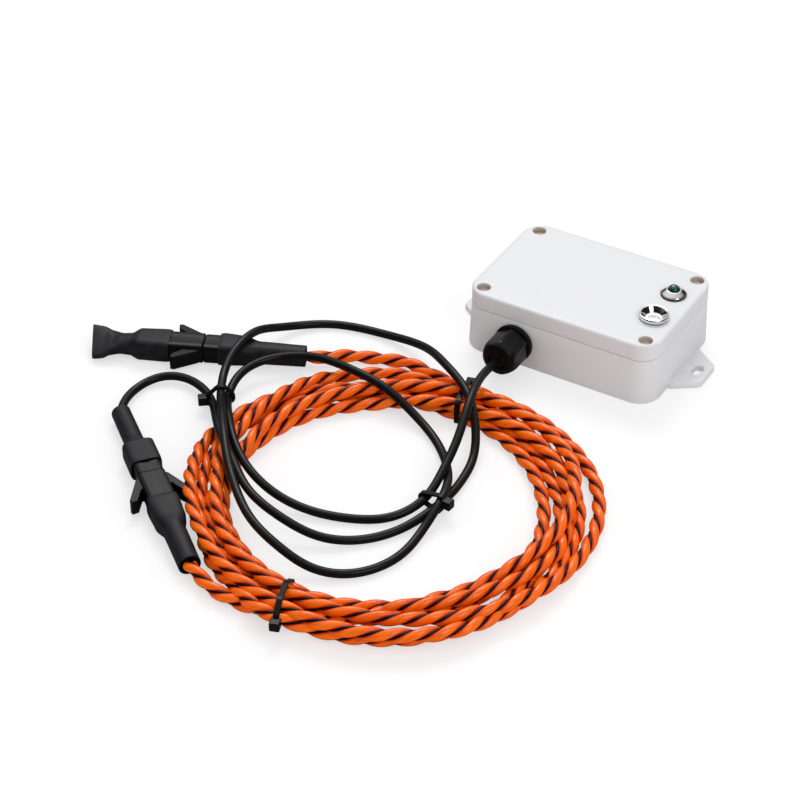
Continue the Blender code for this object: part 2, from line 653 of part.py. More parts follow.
def board():
    low = BOARD_Z
    high = BOARD_Z + BOARD_THICKNESS
    plate = block("circuit_board", (BOARD_X[0], -BOARD_HALF, low), (BOARD_X[1], BOARD_HALF, high))
    number = 0
    for sy in (-1, 1):
        for x in BOARD_SCREW_X:
            number += 1
            place = (x, sy * BOARD_SCREW_Y, 0)
            cut(plate, rod(f"board_hole_{number}", 1.3, low - 1, high + 1, 16, place))
            cross_screw(f"board_screw_{number}", BOARD_SCREW_HEAD, 1.4, 1.7, 4.0, place,
                        high + GAP + 1.4)
    finish(plate, "board_green")
    top = high + GAP
    centre_y = HOLDER_BACK - HOLDER_WIDTH / 2
    centre_x = HOLDER_MIDDLE
    holder = block("battery_holder", (-HOLDER_LENGTH / 2, -HOLDER_WIDTH / 2, 0.0),
                   (HOLDER_LENGTH / 2, HOLDER_WIDTH / 2, HOLDER_HEIGHT),
                   (centre_x, centre_y, top))
    pitch = CELL_DIAMETER + 0.7
    cell_z = top + 1.3 + CELL_DIAMETER / 2
    for number, side in enumerate((-1, 1), 1):
        y = centre_y + side * pitch / 2
        bay = block(f"cell_bay_{number}",
                    (-CELL_LENGTH / 2 - 1.0, -CELL_DIAMETER / 2 - GAP, -CELL_DIAMETER / 2 - 0.1),
                    (CELL_LENGTH / 2 + 1.0, CELL_DIAMETER / 2 + GAP, 20.0),
                    (centre_x, y, cell_z - 0.2))
        cut(holder, bay)
        body = CELL_LENGTH - 1.4
        profile = [(0, -CELL_LENGTH / 2), (CELL_DIAMETER / 2 - 0.6, -CELL_LENGTH / 2),
                   (CELL_DIAMETER / 2, -CELL_LENGTH / 2 + 0.5),
                   (CELL_DIAMETER / 2, body - CELL_LENGTH / 2 - 0.5),
                   (CELL_DIAMETER / 2 - 0.6, body - CELL_LENGTH / 2),
                   (2.7, body - CELL_LENGTH / 2), (2.7, CELL_LENGTH / 2), (0, CELL_LENGTH / 2)]
        cell = turned(f"battery_{number}", profile, 20, (centre_x, y, cell_z),
                      (0, side * math.radians(90), 0))
        finish(cell, "cell_sleeve")
    finish(holder, "grey_plastic")
    module = block("radio_module", (RADIO_X[0], -21.0, top), (RADIO_X[1], TERMINAL_Y[1], top + 2.6))
    finish(module, "steel")
    antenna = block("radio_antenna", (RADIO_X[0] - GAP - 4.2, -20.0, top),
                    (RADIO_X[0] - GAP, -16.5, top + 1.0))
    finish(antenna, "silicone")
    terminal = block("terminal_block", (TERMINAL_X[0], TERMINAL_Y[0], top),
                     (TERMINAL_X[1], TERMINAL_Y[1], top + 8.0))
    wire_end = -TERMINAL_Y[1] + 2.0
    for number, x in enumerate((GLAND_X - 1.1, GLAND_X + 1.1), 1):
        wire_hole = rod(f"wire_entry_{number}", 0.95, wire_end - 1.0, 25.0, 12,
                        (x, 0, GLAND_Z), (math.radians(90), 0, 0))
        cut(terminal, wire_hole)
        wire = rod(f"lead_core_{number}", 0.6, wire_end, -GLAND_INNER_Y - 1.7, 12,
                   (x, 0, GLAND_Z), (math.radians(90), 0, 0))
        finish(wire, "orange_plastic" if number == 1 else "black_jacket")
    for number, x in enumerate((GLAND_X - 0.3, GLAND_X + 4.3), 1):
        cut(terminal, rod(f"clamp_recess_{number}", 1.5, top + 7.2, top + 9, 16,
                          (x, (TERMINAL_Y[0] + TERMINAL_Y[1]) / 2, 0)))
    finish(terminal, "blue_plastic")


# Connectors, each drawn along its own axis with heights above the floor

def section(along, width, low, high, radius, shift=0.0):
    """Round-cornered outline across the axis at one station."""
    middle = (low + high) / 2
    outline = rounded_rect(width, high - low, radius, 4)
    return [(along, shift + w, middle + h) for w, h in outline]


def sleeve(name, stations, start, angle):
    """A lofted piece along a plug's axis, from stations of size and height."""
    return loft(name, [section(*station) for station in stations],
                (start[0], start[1], 0), (0, 0, angle))


def boot_pocket(name, low, high, start, angle):
    width = SHELL_WIDTH - 2.0
    return sleeve(name, [(low, width + 2 * GAP, 1.0, 9.8, 1.2),
                         (high, width + 2 * GAP, 1.0, 9.8, 1.2)], start, angle)


def connector(tag, start, angle, socket_span, plug_span, wing_at, boots):
    """Socket and winged plug, mated, held in the shrink boots at both sides."""
    sign = 1 if plug_span[0] > socket_span[0] else -1
    mate = socket_span[1] if sign > 0 else socket_span[0]
    tail = 4.5
    width = SHELL_WIDTH
    inner = width - 2.0
    far = socket_span[0] if sign > 0 else socket_span[1]
    socket = sleeve(f"socket_{tag}", [(socket_span[0], width, SHELL_LOW, SHELL_HIGH, 1.2),
                                      (socket_span[1], width, SHELL_LOW, SHELL_HIGH, 1.2)],
                    start, angle)
    ends = sorted((far - sign * tail, far + sign * 0.5))
    join(socket, sleeve(f"socket_{tag}_tail", [(ends[0], inner, 1.3, 9.5, 1.2),
                                               (ends[1], inner, 1.3, 9.5, 1.2)],
                        start, angle))
    hole = sorted((mate + sign * 1.0, mate - sign * 5.0))
    cut(socket, sleeve(f"socket_{tag}_mouth", [(hole[0], 8.6, 2.6, 8.6, 0.8),
                                               (hole[1], 8.6, 2.6, 8.6, 0.8)],
                       start, angle))
    finish(socket, "black_nylon")
    near = plug_span[0] if sign > 0 else plug_span[1]
    plug_far = plug_span[1] if sign > 0 else plug_span[0]
    plug = sleeve(f"plug_{tag}", [(plug_span[0], width, SHELL_LOW, SHELL_HIGH, 1.2),
                                  (plug_span[1], width, SHELL_LOW, SHELL_HIGH, 1.2)],
                  start, angle)
    ends = sorted((plug_far + sign * tail, plug_far - sign * 0.5))
    join(plug, sleeve(f"plug_{tag}_tail", [(ends[0], inner, 1.3, 9.5, 1.2),
                                           (ends[1], inner, 1.3, 9.5, 1.2)], start, angle))
    ends = sorted((near - sign * 4.6, near + sign * 0.5))
    join(plug, sleeve(f"plug_{tag}_tongue", [(ends[0], 8.0, 2.9, 8.3, 0.6),
                                             (ends[1], 8.0, 2.9, 8.3, 0.6)], start, angle))
    root, tip = wing_at
    for side in (-1, 1):
        lean = 1 if tip > root else -1
        outline = [(root, side * 4.0), (root + lean * 1.5, side * 6.6),
                   (tip - lean * 1.2, side * WING_REACH), (tip, side * WING_REACH),
                   (tip, side * (WING_REACH - 3.4)), (root + lean * 7.5, side * 6.4),
                   (root + lean * 7.5, side * 4.0)]
        wing = prism(f"wing_{tag}_{'l' if side > 0 else 'r'}", outline, 1.8, 8.8,
                     (start[0], start[1], 0), (0, 0, angle))
        join(plug, wing)
    finish(plug, "black_nylon")
    for name, stations, pocket in boots:
        piece = sleeve(name, stations, start, angle)
        cut(piece, boot_pocket(f"{name}_pocket", pocket[0], pocket[1], start, angle))
        finish(piece, "black_shrink", 40)


def connectors():
    width = BOOT_WIDTH
    high = BOOT_HEIGHT
    sleeve_r = 8.5
    rope_r = SLEEVE_DIAMETER
    lead_side = [(0.3, sleeve_r, 0.1, 0.1 + sleeve_r, 4.2),
                 (24.5, sleeve_r + 0.2, 0.1, 8.9, 4.2), (28.5, width, 0.1, high, 3.4),
                 (40.5, width, 0.1, high + 0.1, 3.4), (43.0, width - 0.6, 0.3, high - 0.3, 3.0)]
    rope_side = [(67.3, width - 0.6, 0.3, high - 0.3, 3.0), (69.5, width, 0.1, high + 0.1, 3.4),
                 (80.0, width - 0.4, 0.1, high, 3.6), (86.0, rope_r + 0.3, 0.1, 10.0, 4.6),
                 (107.7, rope_r, 0.1, 0.1 + rope_r, 4.6)]
    connector("a", PLUG_A_START, PLUG_A_ANGLE, (43.3, 50.0), (50.3, 67.0), (50.8, 66.2),
              (("lead_sleeve", lead_side, (38.0, 44.0)),
               ("rope_sleeve_a", rope_side, (66.0, 72.3))))
    cap_side = [(0.0, 19.0, 3.4, 6.8, 1.2), (7.5, 18.0, 3.2, 7.0, 1.3), (9.6, 13.0, 2.6, 7.6, 2.0),
                (15.0, 8.0, 2.0, 8.0, 2.6), (18.5, 9.4, 1.0, 9.2, 3.2),
                (23.0, width, 0.1, high, 3.4), (34.0, width, 0.1, high + 0.1, 3.4),
                (36.2, width - 0.6, 0.3, high - 0.3, 3.0)]
    tail_side = [(58.8, width - 0.6, 0.3, high - 0.3, 3.0), (60.6, width, 0.1, high + 0.1, 3.4),
                 (69.5, width - 0.4, 0.1, high, 3.6), (77.0, rope_r + 0.3, 0.1, 9.8, 4.4),
                 (98.0, rope_r + 0.2, 0.1, 9.3, 4.2)]
    connector("b", PLUG_B_START, PLUG_B_ANGLE, (51.9, 58.5), (36.5, 51.6), (51.0, 38.0),
              (("end_cap_b", cap_side, (31.5, 37.0)),
               ("rope_sleeve_b", tail_side, (58.0, 63.8))))


# Coil, rope tail, lead and ties

def coil_profile(grow=0.0):
    return [(COIL_INNER - grow, 0.0), (COIL_INNER - grow, 4.0),
            (COIL_INNER + 5.5, COIL_HEIGHT + grow), (COIL_OUTER - 5.5, COIL_HEIGHT + grow),
            (COIL_OUTER + grow, 4.0), (COIL_OUTER + grow, 0.0)]


def axis_point(start, angle, along, side=0.0, height=0.0):
    return (start[0] + along * math.cos(angle) - side * math.sin(angle),
            start[1] + along * math.sin(angle) + side * math.cos(angle), height)


def rope_coil():
    ring = turned("rope_coil", coil_profile(), 60, (COIL_CENTRE[0], COIL_CENTRE[1], 0))
    margin = 0.5
    envelope = [(40.0, BOOT_WIDTH / 2 + margin), (50.0, WING_REACH + margin),
                (67.2, WING_REACH + margin), (67.2, BOOT_WIDTH / 2 + margin),
                (81.0, BOOT_WIDTH / 2 + margin), (87.0, SLEEVE_DIAMETER / 2 + margin),
                (108.0, SLEEVE_DIAMETER / 2 + margin)]
    outline = envelope + [(s, -w) for s, w in reversed(envelope)]
    room = prism("plug_a_room", outline, -1.0, COIL_HEIGHT + 3.0,
                 (PLUG_A_START[0], PLUG_A_START[1], 0), (0, 0, PLUG_A_ANGLE))
    cut(ring, room)
    for number, (x, y, angle) in enumerate(ROPE_TIES, 1):
        groove = block(f"tie_groove_{number}", (-20.0, -TIE_WIDTH / 2 - GAP, -1.0),
                       (20.0, TIE_WIDTH / 2 + GAP, TIE_THICKNESS + GAP), (x, y, 0),
                       (0, 0, angle))
        cut(ring, groove)
    finish(ring, "orange_plastic")


def rope_tail():
    start = axis_point(PLUG_B_START, PLUG_B_ANGLE, 98.3, 0.0, 4.7)
    route = [start, axis_point(PLUG_B_START, PLUG_B_ANGLE, 103.0, 0.2, 4.5),
             (-89.5, -74.6, 4.0), (-80.5, -68.6, 3.3), (-70.0, -64.6, 3.12),
             (-59.0, -61.6, 3.12), (-50.0, -60.2, 3.12)]
    tail = tube("rope_tail", smooth_path(route, 9), ROPE_DIAMETER)
    finish(tail, "orange_plastic")


# Centre in plan and direction across the coil, towards the lock
ROPE_TIES = ((-20.0, -226.0, math.radians(-70.0)), (-24.2, -73.2, math.radians(106.0)))


def rope_ties():
    for number, (x, y, angle) in enumerate(ROPE_TIES, 1):
        slack = 0.9
        middle = (COIL_INNER + COIL_OUTER) / 2
        inner = []
        outer = []
        for r, z in coil_profile():
            u = (r - middle) * 1.06
            inner.append((u + math.copysign(slack, u), max(z + (GAP if z > 8 else 0), 1.0)))
            more = slack + TIE_THICKNESS * (1.0 if z < 8 else 0.4)
            outer.append((u + math.copysign(more, u), z + (GAP + TIE_THICKNESS if z > 8 else 0)))
        strap = band(f"rope_tie_{number}", outer, inner, -TIE_WIDTH / 2, TIE_WIDTH / 2,
                     (x, y, 0), (math.radians(90), 0, angle))
        end = outer[-2][0]
        lock = block(f"rope_tie_{number}_lock", (end - 0.6, -2.1, 1.2), (end + 3.0, 2.1, 5.6),
                     (x, y, 0), (0, 0, angle))
        join(strap, lock)
        finish(strap, "black_nylon", 30)


def lead():
    points = smooth_path(LEAD_ROUTE, 86)
    points[:, 2] = np.maximum(points[:, 2], LEAD_DIAMETER / 2)
    tube_obj = tube("sensor_lead", [tuple(p) for p in points], LEAD_DIAMETER)
    finish(tube_obj, "black_jacket")
    return points


# Plan point and direction of the bundle at each lead tie
LEAD_TIES = (("left", (-114.5, -128.5), math.radians(127.5)),
             ("right", (2.0, -142.0), math.radians(-95.0)))


def lead_ties(points):
    """A strap round the three strands of the lead where they cross the tie's plane."""
    for name, (x, y), angle in LEAD_TIES:
        along = np.array([math.cos(angle), math.sin(angle), 0.0])
        across = np.array([-math.sin(angle), math.cos(angle), 0.0])
        offset = points - np.array([x, y, 0.0])
        s = offset @ along
        centres = []
        for i in range(len(points) - 1):
            if (s[i] < 0) == (s[i + 1] < 0):
                continue
            t = s[i] / (s[i] - s[i + 1])
            here = offset[i] + (offset[i + 1] - offset[i]) * t
            if abs(here @ across) < 14 and here[2] < 14:
                centres.append((float(here @ across), float(here[2])))
        loose = LEAD_DIAMETER / 2 + 0.75
        inner = resample(around(centres, loose, 16), 28)
        outer = resample(around(centres, loose + TIE_THICKNESS, 16), 28)
        strap = band(f"lead_tie_{name}", [(a, max(b, 0.0)) for a, b in outer],
                     [(a, max(b, 0.8)) for a, b in inner],
                     -TIE_WIDTH / 2, TIE_WIDTH / 2, (x, y, 0),
                     (math.radians(90), 0, angle + math.radians(90)))
        edge, level = outer[0]
        lock = block(f"lead_tie_{name}_lock", (edge - 0.6, -2.1, level - 2.1),
                     (edge + 3.4, 2.1, level + 2.1), (x, y, 0),
                     (0, 0, angle + math.radians(90)))
        join(strap, lock)
        finish(strap, "black_nylon", 30)


def resample(outline, count):
    """Even points on a closed outline, starting from its rightmost point."""
    start = max(range(len(outline)), key=lambda i: outline[i][0])
    loop = outline[start:] + outline[:start + 1]
    run = [0.0]
    for a, b in zip(loop, loop[1:]):
        run.append(run[-1] + math.dist(a, b))
    even = np.linspace(0.0, run[-1], count, endpoint=False)
    return list(zip(np.interp(even, run, [p[0] for p in loop]),
                    np.interp(even, run, [p[1] for p in loop])))


def main():
    clear_scene()
    base_housing()
    lid()
    lid_gasket()
    lid_screws()
    lamp()
    push_button()
    gland()
    board()
    connectors()
    rope_coil()
    rope_tail()
    rope_ties()
    points = lead()
    lead_ties(points)


main()
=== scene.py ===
"""Water leak sensor: finishes, cords, cable ties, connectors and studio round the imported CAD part.

Lengths in the tables are millimetres and become metres when a mesh is made.
The frame is the CAD's: +X along the box's long side, -Y out of the gland, +Z up, z = 0 the floor.
"""
import math

import bmesh
import bpy
import numpy as np
from bpy.props import FloatProperty, FloatVectorProperty, IntProperty, PointerProperty
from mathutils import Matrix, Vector

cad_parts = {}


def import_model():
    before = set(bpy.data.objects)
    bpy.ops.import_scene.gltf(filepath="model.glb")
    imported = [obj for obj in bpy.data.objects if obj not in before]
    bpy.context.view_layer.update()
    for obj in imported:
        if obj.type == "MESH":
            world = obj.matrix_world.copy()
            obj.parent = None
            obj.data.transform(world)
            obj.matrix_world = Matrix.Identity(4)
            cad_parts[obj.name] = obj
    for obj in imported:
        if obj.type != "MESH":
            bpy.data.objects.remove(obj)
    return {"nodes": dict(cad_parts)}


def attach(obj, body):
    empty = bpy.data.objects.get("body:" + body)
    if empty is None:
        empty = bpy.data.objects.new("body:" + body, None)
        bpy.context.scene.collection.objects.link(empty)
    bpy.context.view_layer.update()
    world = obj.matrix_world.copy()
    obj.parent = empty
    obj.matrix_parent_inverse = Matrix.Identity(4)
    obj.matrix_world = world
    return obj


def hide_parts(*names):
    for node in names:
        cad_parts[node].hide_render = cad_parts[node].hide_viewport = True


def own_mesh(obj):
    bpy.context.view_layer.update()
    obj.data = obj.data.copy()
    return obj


bl_info = {
    "name": "Water Leak Sensor",
    "version": (1, 0, 0),
    "blender": (4, 5, 0),
    "location": "View3D > Sidebar > Leak Sensor",
    "description": "Dresses the leak sensor's CAD frame with cords, mouldings, finishes and "
                   "a studio",
    "category": "Add Mesh",
}

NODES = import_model()["nodes"]
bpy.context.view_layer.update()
WHITE = (1, 1, 1, 1)

# Metres: a millimetre, the reach of a weld, and the depth of the finest grain
MM = 0.001
WELD = 2e-6
FINE = 0.00004

# Enclosure: the recess is a radius and a depth, the ear's tip a reach and half a width, the
# slot a middle, half a width and half a length
BOX = (94.0, 66.0, 31.0)
PARTING = 22.8
PARTING_GAP = 0.15
CORNER = 10.0
DRAFT = 0.95
LID_EDGE = 1.3
WALL = 2.5
SCREW = (40.4, 27.0)
RECESS = (3.2, 5.7)
EAR_TIP = (60.5, 8.8)
EAR_ROOT = 15.5
EAR_HEIGHT = 3.0
SLOT = (55.2, 2.2, 3.8)

# Fittings: the dome is a radius and a rise, the gland a place on the box's front side
LAMP = (36.0, 11.0)
DOME = (2.8, 2.5)
BUTTON = (36.0, -9.5)
GLAND = (-20.0, 12.5)
GLAND_BACK = 34.9
GLAND_FACE = 51.8
GLAND_FLATS = 15.6

# Cable ties: width and thickness of the strap, size of the lock and how far it laps the strap
STRAP = (2.5, 1.0)
LOCK = 4.2
LOCK_LAP = 0.6

# Plugs: place and heading of each pair, sections of the blocks, depth of a sleeve's open ends
PLUG_A = ((-148.6, -158.6), math.radians(-39.0))
PLUG_B = ((-190.4, -122.8), math.radians(24.2))
SOCKET_BLOCK = {"width": 11.6, "low": 0.8, "high": 10.0, "groove": 0.3}
PLUG_BLOCK = {"width": 12, "low": 0.7, "high": 10.3, "groove": 0.35}
DEEP, SHALLOW = 5.0, 2.0

# Cords: half axes of a strand's and a wire's section, away from the rope's middle and across
LEAD_DIAMETER = 3.8
LEAD_EASE = 7.0
ROPE_PITCH = 23.0
ROPE_REST = 3.1
STRAND = (1.6, 1.9)
WIRE = (0.62, 0.72)
WIRE_SPREAD = 1.6
COIL_CENTRE = (-18.5, -149.5)

# Route of the lead from the gland to the first plug: three passes through two ties
LEAD_ROUTE = (
    (-20, -51.3, 12.5), (-20, -54.5, 12.6), (-20, -58.5, 13.1), (-18.5, -67, 15.8),
    (-15.5, -80, 18), (-12, -92, 17.4), (-9, -103, 13.6), (-7.5, -109, 11.8), (-4.5, -130, 7),
    (-3.5, -137, 5.5), (-4, -144, 4), (-7, -151, 3.1), (-11, -157.5, 2.1), (-21.5, -164.5, 2),
    (-36, -170, 2.3), (-48.5, -172.5, 3.7), (-62, -172.5, 6.7), (-74.5, -169, 10.2),
    (-80.5, -165.5, 11.3), (-86.5, -160.5, 12.4), (-92.5, -155, 13.1), (-98.5, -147.5, 13.7),
    (-103, -142, 12.2), (-110, -132.5, 7), (-115.5, -123.5, 5.2), (-118, -113.5, 7.1),
    (-117, -105.5, 8), (-95, -86, 9.4), (-80, -88.5, 12.2), (-64.5, -91, 13.2), (-52, -92, 11.1),
    (-36.5, -95, 4.5), (-24.5, -100.5, 2.3), (-15, -108.5, 2.1), (-8.5, -116, 3.1),
    (-2.5, -125, 4.8), (2, -135, 7.4), (4, -143, 7.7), (4, -148.5, 5.6), (4, -162.5, 2.1),
    (4.5, -171, 2), (-4.5, -193, 2), (-13.5, -200, 2.5), (-25, -203.5, 4.8), (-37, -202.5, 8.5),
    (-50, -199.5, 11.3), (-68.5, -186.5, 13.2), (-77, -178.5, 14.4), (-84, -171, 16),
    (-90.5, -163, 17.4), (-97, -154.5, 17.8), (-106.5, -142, 13.6), (-119, -123.5, 9.2),
    (-122.5, -116.5, 10.3), (-124.5, -109.5, 11.9), (-125.5, -99, 13.3), (-125.5, -88, 13.1),
    (-124.5, -74, 6.6), (-118.5, -62, 2.8), (-109.5, -53.5, 2), (-96, -48.5, 2), (-79, -47, 2.5),
    (-63.5, -49.5, 5.7), (-51.5, -55.5, 9.6), (-39, -66, 14.2), (-24.5, -75, 14.2),
    (-12.5, -86, 12.3), (-4.5, -97.5, 6.1), (-1.5, -103.5, 3), (0.5, -111.5, 2), (1.5, -120.5, 2),
    (2.5, -130, 2.2), (2, -139, 3.1), (0.5, -147.5, 2.8), (-4.5, -162, 2), (-21, -181, 2.8),
    (-31.5, -186, 4.7), (-43, -187, 7.9), (-65, -183, 12.1), (-73, -177.5, 12.6),
    (-80.5, -170.5, 12.8), (-88, -164.5, 12.9), (-95.5, -158.5, 13.3), (-105.5, -147.5, 11.2),
    (-115.5, -135, 6), (-121, -129.5, 5.3), (-125.5, -126.5, 4.7), (-132.5, -123, 3.6),
    (-138, -121.5, 3.5), (-143, -122, 3.8), (-148, -124, 3.6), (-153, -129, 2.8),
    (-155.5, -137.5, 1.9), (-154.5, -146.5, 3), (-152, -153.5, 4.1), (-149.1, -158.1, 4.35),
)

# Turns of the rope from the first plug to the second: degrees round the coil, radius, and the
# height where the rope isn't down at ROPE_REST
ROPE_TURNS = (
    (-121.1, 89.8, 4.85), (-117, 89.2, 4.6), (-110, 88.8, 4.2), (-105, 87, 3.6), (-98, 84.3),
    (-90, 81), (-80, 77.5, 3.4), (-70, 74, 4.2), (-62, 70.8, 4.2), (-55, 67.5, 3.4), (-48, 65.3),
    (-40, 64.3), (-30, 64.4), (-22, 65.6, 4.4), (-15, 68, 6.8), (-8, 70.2, 8.6), (0, 72.2, 9.4),
    (10, 75, 10.4), (20, 76.8, 11), (30, 78, 11), (40, 79.6, 9.6), (50, 80.6, 7.8),
    (60, 80.5, 6.8), (70, 79.8, 6.9), (80, 78.6, 7.4), (90, 77.2, 7.8), (100, 75.3, 8),
    (110, 74.2, 8), (120, 72.8, 8), (130, 70.9, 8), (140, 70.6, 8), (150, 70, 8), (160, 69.4, 8),
    (170, 68.8, 8), (180, 68.3, 7.6), (190, 68, 6.2), (200, 68.1, 4.4), (210, 68.3, 3.2),
    (225, 67.9), (239, 67.2), (255, 66.9), (270, 66.8), (285, 66.9, 3.4), (295, 67.4, 4.4),
    (305, 68.9, 6), (313, 69.9, 6.8), (320, 70.8, 7), (330, 72.2, 7), (340, 73.8, 7),
    (348, 75.9, 7), (356, 77.2, 6.9), (360, 78, 6.8), (370, 77.5, 6.4), (380, 76.6, 6),
    (390, 75.8, 6), (400, 75, 6.4), (405, 74.3, 7), (410, 73.4, 7.4), (420, 72.1, 7.8),
    (430, 70.2, 8), (440, 67.9, 8), (450, 66.2, 8), (460, 65.8, 7.6), (465, 65.5, 6.9),
    (472, 65.3, 5.8), (480, 65.6, 4.2), (490, 66.2, 3.2), (500, 66.9), (510, 67.5), (520, 67.8),
    (530, 68), (540, 68.4), (550, 69.8), (560, 71.6), (570, 73.2), (580, 74), (590, 74.4),
    (599, 74.5), (615, 74.2), (630, 73.6), (645, 72.9), (660, 72), (675, 70.9), (690, 70.2),
    (705, 69), (720, 67.9), (728, 67.3), (735, 66.6), (750, 65.2), (765, 64.6), (780, 64.7),
    (795, 65.2), (810, 65.9), (820, 67), (830, 69), (840, 71.3), (850, 73.6), (860, 75.6),
    (870, 77.6), (880, 79.4), (890, 80.5), (900, 81), (910, 80.9), (920, 79.2), (930, 78.2),
    (937, 77.9), (945, 78.4), (953, 79.3), (961, 80.3), (970, 81.2, 4), (978, 84, 6.2),
    (984, 86.6, 7.6), (992, 86.6, 7), (1000, 85, 5), (1008, 84.2, 3.6), (1015, 83.9), (1022, 84.1),
    (1029, 84), (1036, 83.3), (1045, 81.6), (1055, 79), (1065, 76.7), (1080, 74.2), (1090, 73.4),
    (1100, 72.8), (1107, 72.2), (1115, 70.9), (1120, 70.3), (1130, 69.9), (1140, 69.9),
    (1150, 70.3), (1160, 70.8), (1170, 71.6), (1180, 72.8), (1190, 74.4), (1200, 76.4),
    (1211, 78.9), (1220, 81.3), (1230, 84.6), (1240, 86.6), (1249, 87.4), (1257, 87.5, 3.4),
    (1264, 87, 4.2), (1271, 85.6, 5.6), (1279, 83.9, 7.2), (1286, 82.7, 8.2), (1294, 81.3, 8.6),
    (1303, 80.4, 8.6), (1312, 79.7, 8.6), (1319, 79.7, 8.5), (1332, 80.3, 8.5), (1341, 81, 8.7),
    (1353, 82.8, 9.2), (1359, 84.2, 9.2), (1366, 85.6, 8.9), (1374, 86.6, 8.6), (1381, 87.4, 8.4),
    (1389, 88, 8.2), (1396, 87.9, 7.6), (1403, 86.9, 6.6), (1411, 85, 5.4), (1418, 83.6, 4.4),
    (1425, 82.6, 3.6), (1440, 81.1), (1450, 81), (1460, 80.6), (1470, 79.6), (1480, 78),
    (1490, 76.6), (1500, 76), (1510, 75.9), (1520, 76.1), (1530, 77), (1540, 80), (1548, 84),
    (1555, 87.4), (1562, 88.6), (1570, 88.8), (1577, 88.4, 3.9), (1582, 87, 5.2),
    (1587, 84.4, 6.8), (1593, 81.4, 8.4), (1601, 79.4, 8.8), (1609, 77.3, 8.8), (1615, 76.1, 8.7),
    (1622, 75.2, 8.6), (1630, 74.6, 8.5), (1636, 73.6, 8.5), (1643, 72.1, 8.5), (1652, 71.2, 8.3),
    (1662, 70.9, 8.1), (1672, 71, 8), (1679, 71.2, 7.9), (1688, 71.5, 7.9), (1697, 72.1, 8),
    (1707, 73.1, 8.1), (1717, 74.4, 8.3), (1727, 75.8, 8.4), (1736, 77.2, 8.5), (1744, 78.6, 8.5),
    (1752, 80, 8.6), (1759, 81.5, 8.6), (1766, 82.7, 8.5), (1774, 84, 8.1), (1781, 84.9, 7.4),
    (1788, 85.3, 6.4), (1796, 85.6, 4.8), (1803, 86.2, 3.5), (1810, 87), (1820, 88.1),
    (1830, 88.6), (1840, 88.3), (1850, 87.3), (1860, 86.2), (1870, 85.4), (1880, 84.6),
    (1890, 84.2), (1897, 85.2), (1903, 87.4), (1909, 91),
)
ROPE_TAIL = ((-59, -61.6, 3.12), (-70, -64.6, 3.12), (-80.5, -68.6, 3.3), (-89.5, -74.6, 4),
             (-96.4, -80.5, 4.5), (-101, -82.6, 4.7))


# Curves and surfaces

def unit(vectors):
    """Each vector made one long."""
    return vectors / np.linalg.norm(vectors, axis=1, keepdims=True)


def round_angles(count):
    """Angles at even steps round a full turn."""
    return np.linspace(0, 2 * math.pi, count, endpoint=False)


def run_along(path):
    """Distance along a path at each of its points."""
    return np.r_[0, np.cumsum(np.linalg.norm(np.diff(path, axis=0), axis=1))]


def sampled(line, s):
    """Points of a line in a plane at the distances s along it."""
    run = run_along(line)
    return np.stack([np.interp(s, run, line[:, k]) for k in (0, 1)], -1)


def at_height(plan, z):
    """Points in plan, all lifted to one height."""
    return np.concatenate([plan, np.full((len(plan), 1), z)], 1)


def spline(points, spacing):
    """Natural cubic spline through the points, at even steps of its chord length."""
    p = np.array(points, float)
    d = run_along(p)
    h = np.diff(d)[:, None]
    slope = np.diff(p, axis=0) / h
    system = np.eye(len(p))
    rhs = np.zeros_like(p)
    rows = np.arange(1, len(p) - 1)
    system[rows, rows - 1] = h[:-1, 0]
    system[rows, rows] = 2 * (h[:-1, 0] + h[1:, 0])
    system[rows, rows + 1] = h[1:, 0]
    rhs[1:-1] = 6 * (slope[1:] - slope[:-1])
    bend = np.linalg.solve(system, rhs)
    s = np.linspace(0, d[-1], int(d[-1] / spacing) + 2)
    k = np.clip(np.searchsorted(d, s, side="right") - 1, 0, len(p) - 2)
    u = (s - d[k])[:, None]
    a = (bend[k + 1] - bend[k]) / (6 * h[k])
    c = slope[k] - h[k] * (2 * bend[k] + bend[k + 1]) / 6
    return p[k] + u * (c + u * (bend[k] / 2 + u * a))


def length_of(path):
    return float(np.linalg.norm(np.diff(path, axis=0), axis=1).sum())


def settled(path, reach):
    """Each point becomes the mean of those round it, weighted by exp(-(distance / reach)^2 / 2).
    The two ends stay."""
    step = length_of(path) / (len(path) - 1)
    count = int(3 * reach / step)
    weight = np.exp(-0.5 * (np.arange(-count, count + 1) * step / reach) ** 2)
    weight /= weight.sum()
    before = 2 * path[0] - path[count:0:-1]
    after = 2 * path[-1] - path[-2:-count - 2:-1]
    long = np.vstack([before, path, after])
    return np.stack([np.convolve(long[:, k], weight, "valid") for k in range(3)], -1)


def side_and_up(path):
    """Unit vectors across the path: level to its left, and square to both."""
    tangent = unit(np.gradient(path, axis=0))
    side = unit(np.cross([0.0, 0.0, 1.0], tangent))
    return side, np.cross(tangent, side)


def tube_grid(path, radius, sides):
    """point(s, a) = path(s) + radius (cos a side(s) + sin a up(s))."""
    side, up = side_and_up(path)
    a = round_angles(sides)[None, :, None]
    return path[:, None] + radius * np.cos(a) * side[:, None] + radius * np.sin(a) * up[:, None]


def turned_grid(profile, steps, held=None):
    """point(k, a) = (r cos a, r sin a, z_k) for a profile of radius and height, with r = r_k,
    or held(r_k, a) where that is given."""
    r, z = np.array(profile, float).T
    a = round_angles(steps)
    r = r[:, None] + 0 * a
    if held:
        r = held(r, a)
    return np.stack([r * np.cos(a), r * np.sin(a), np.repeat(z[:, None], steps, 1)], -1)


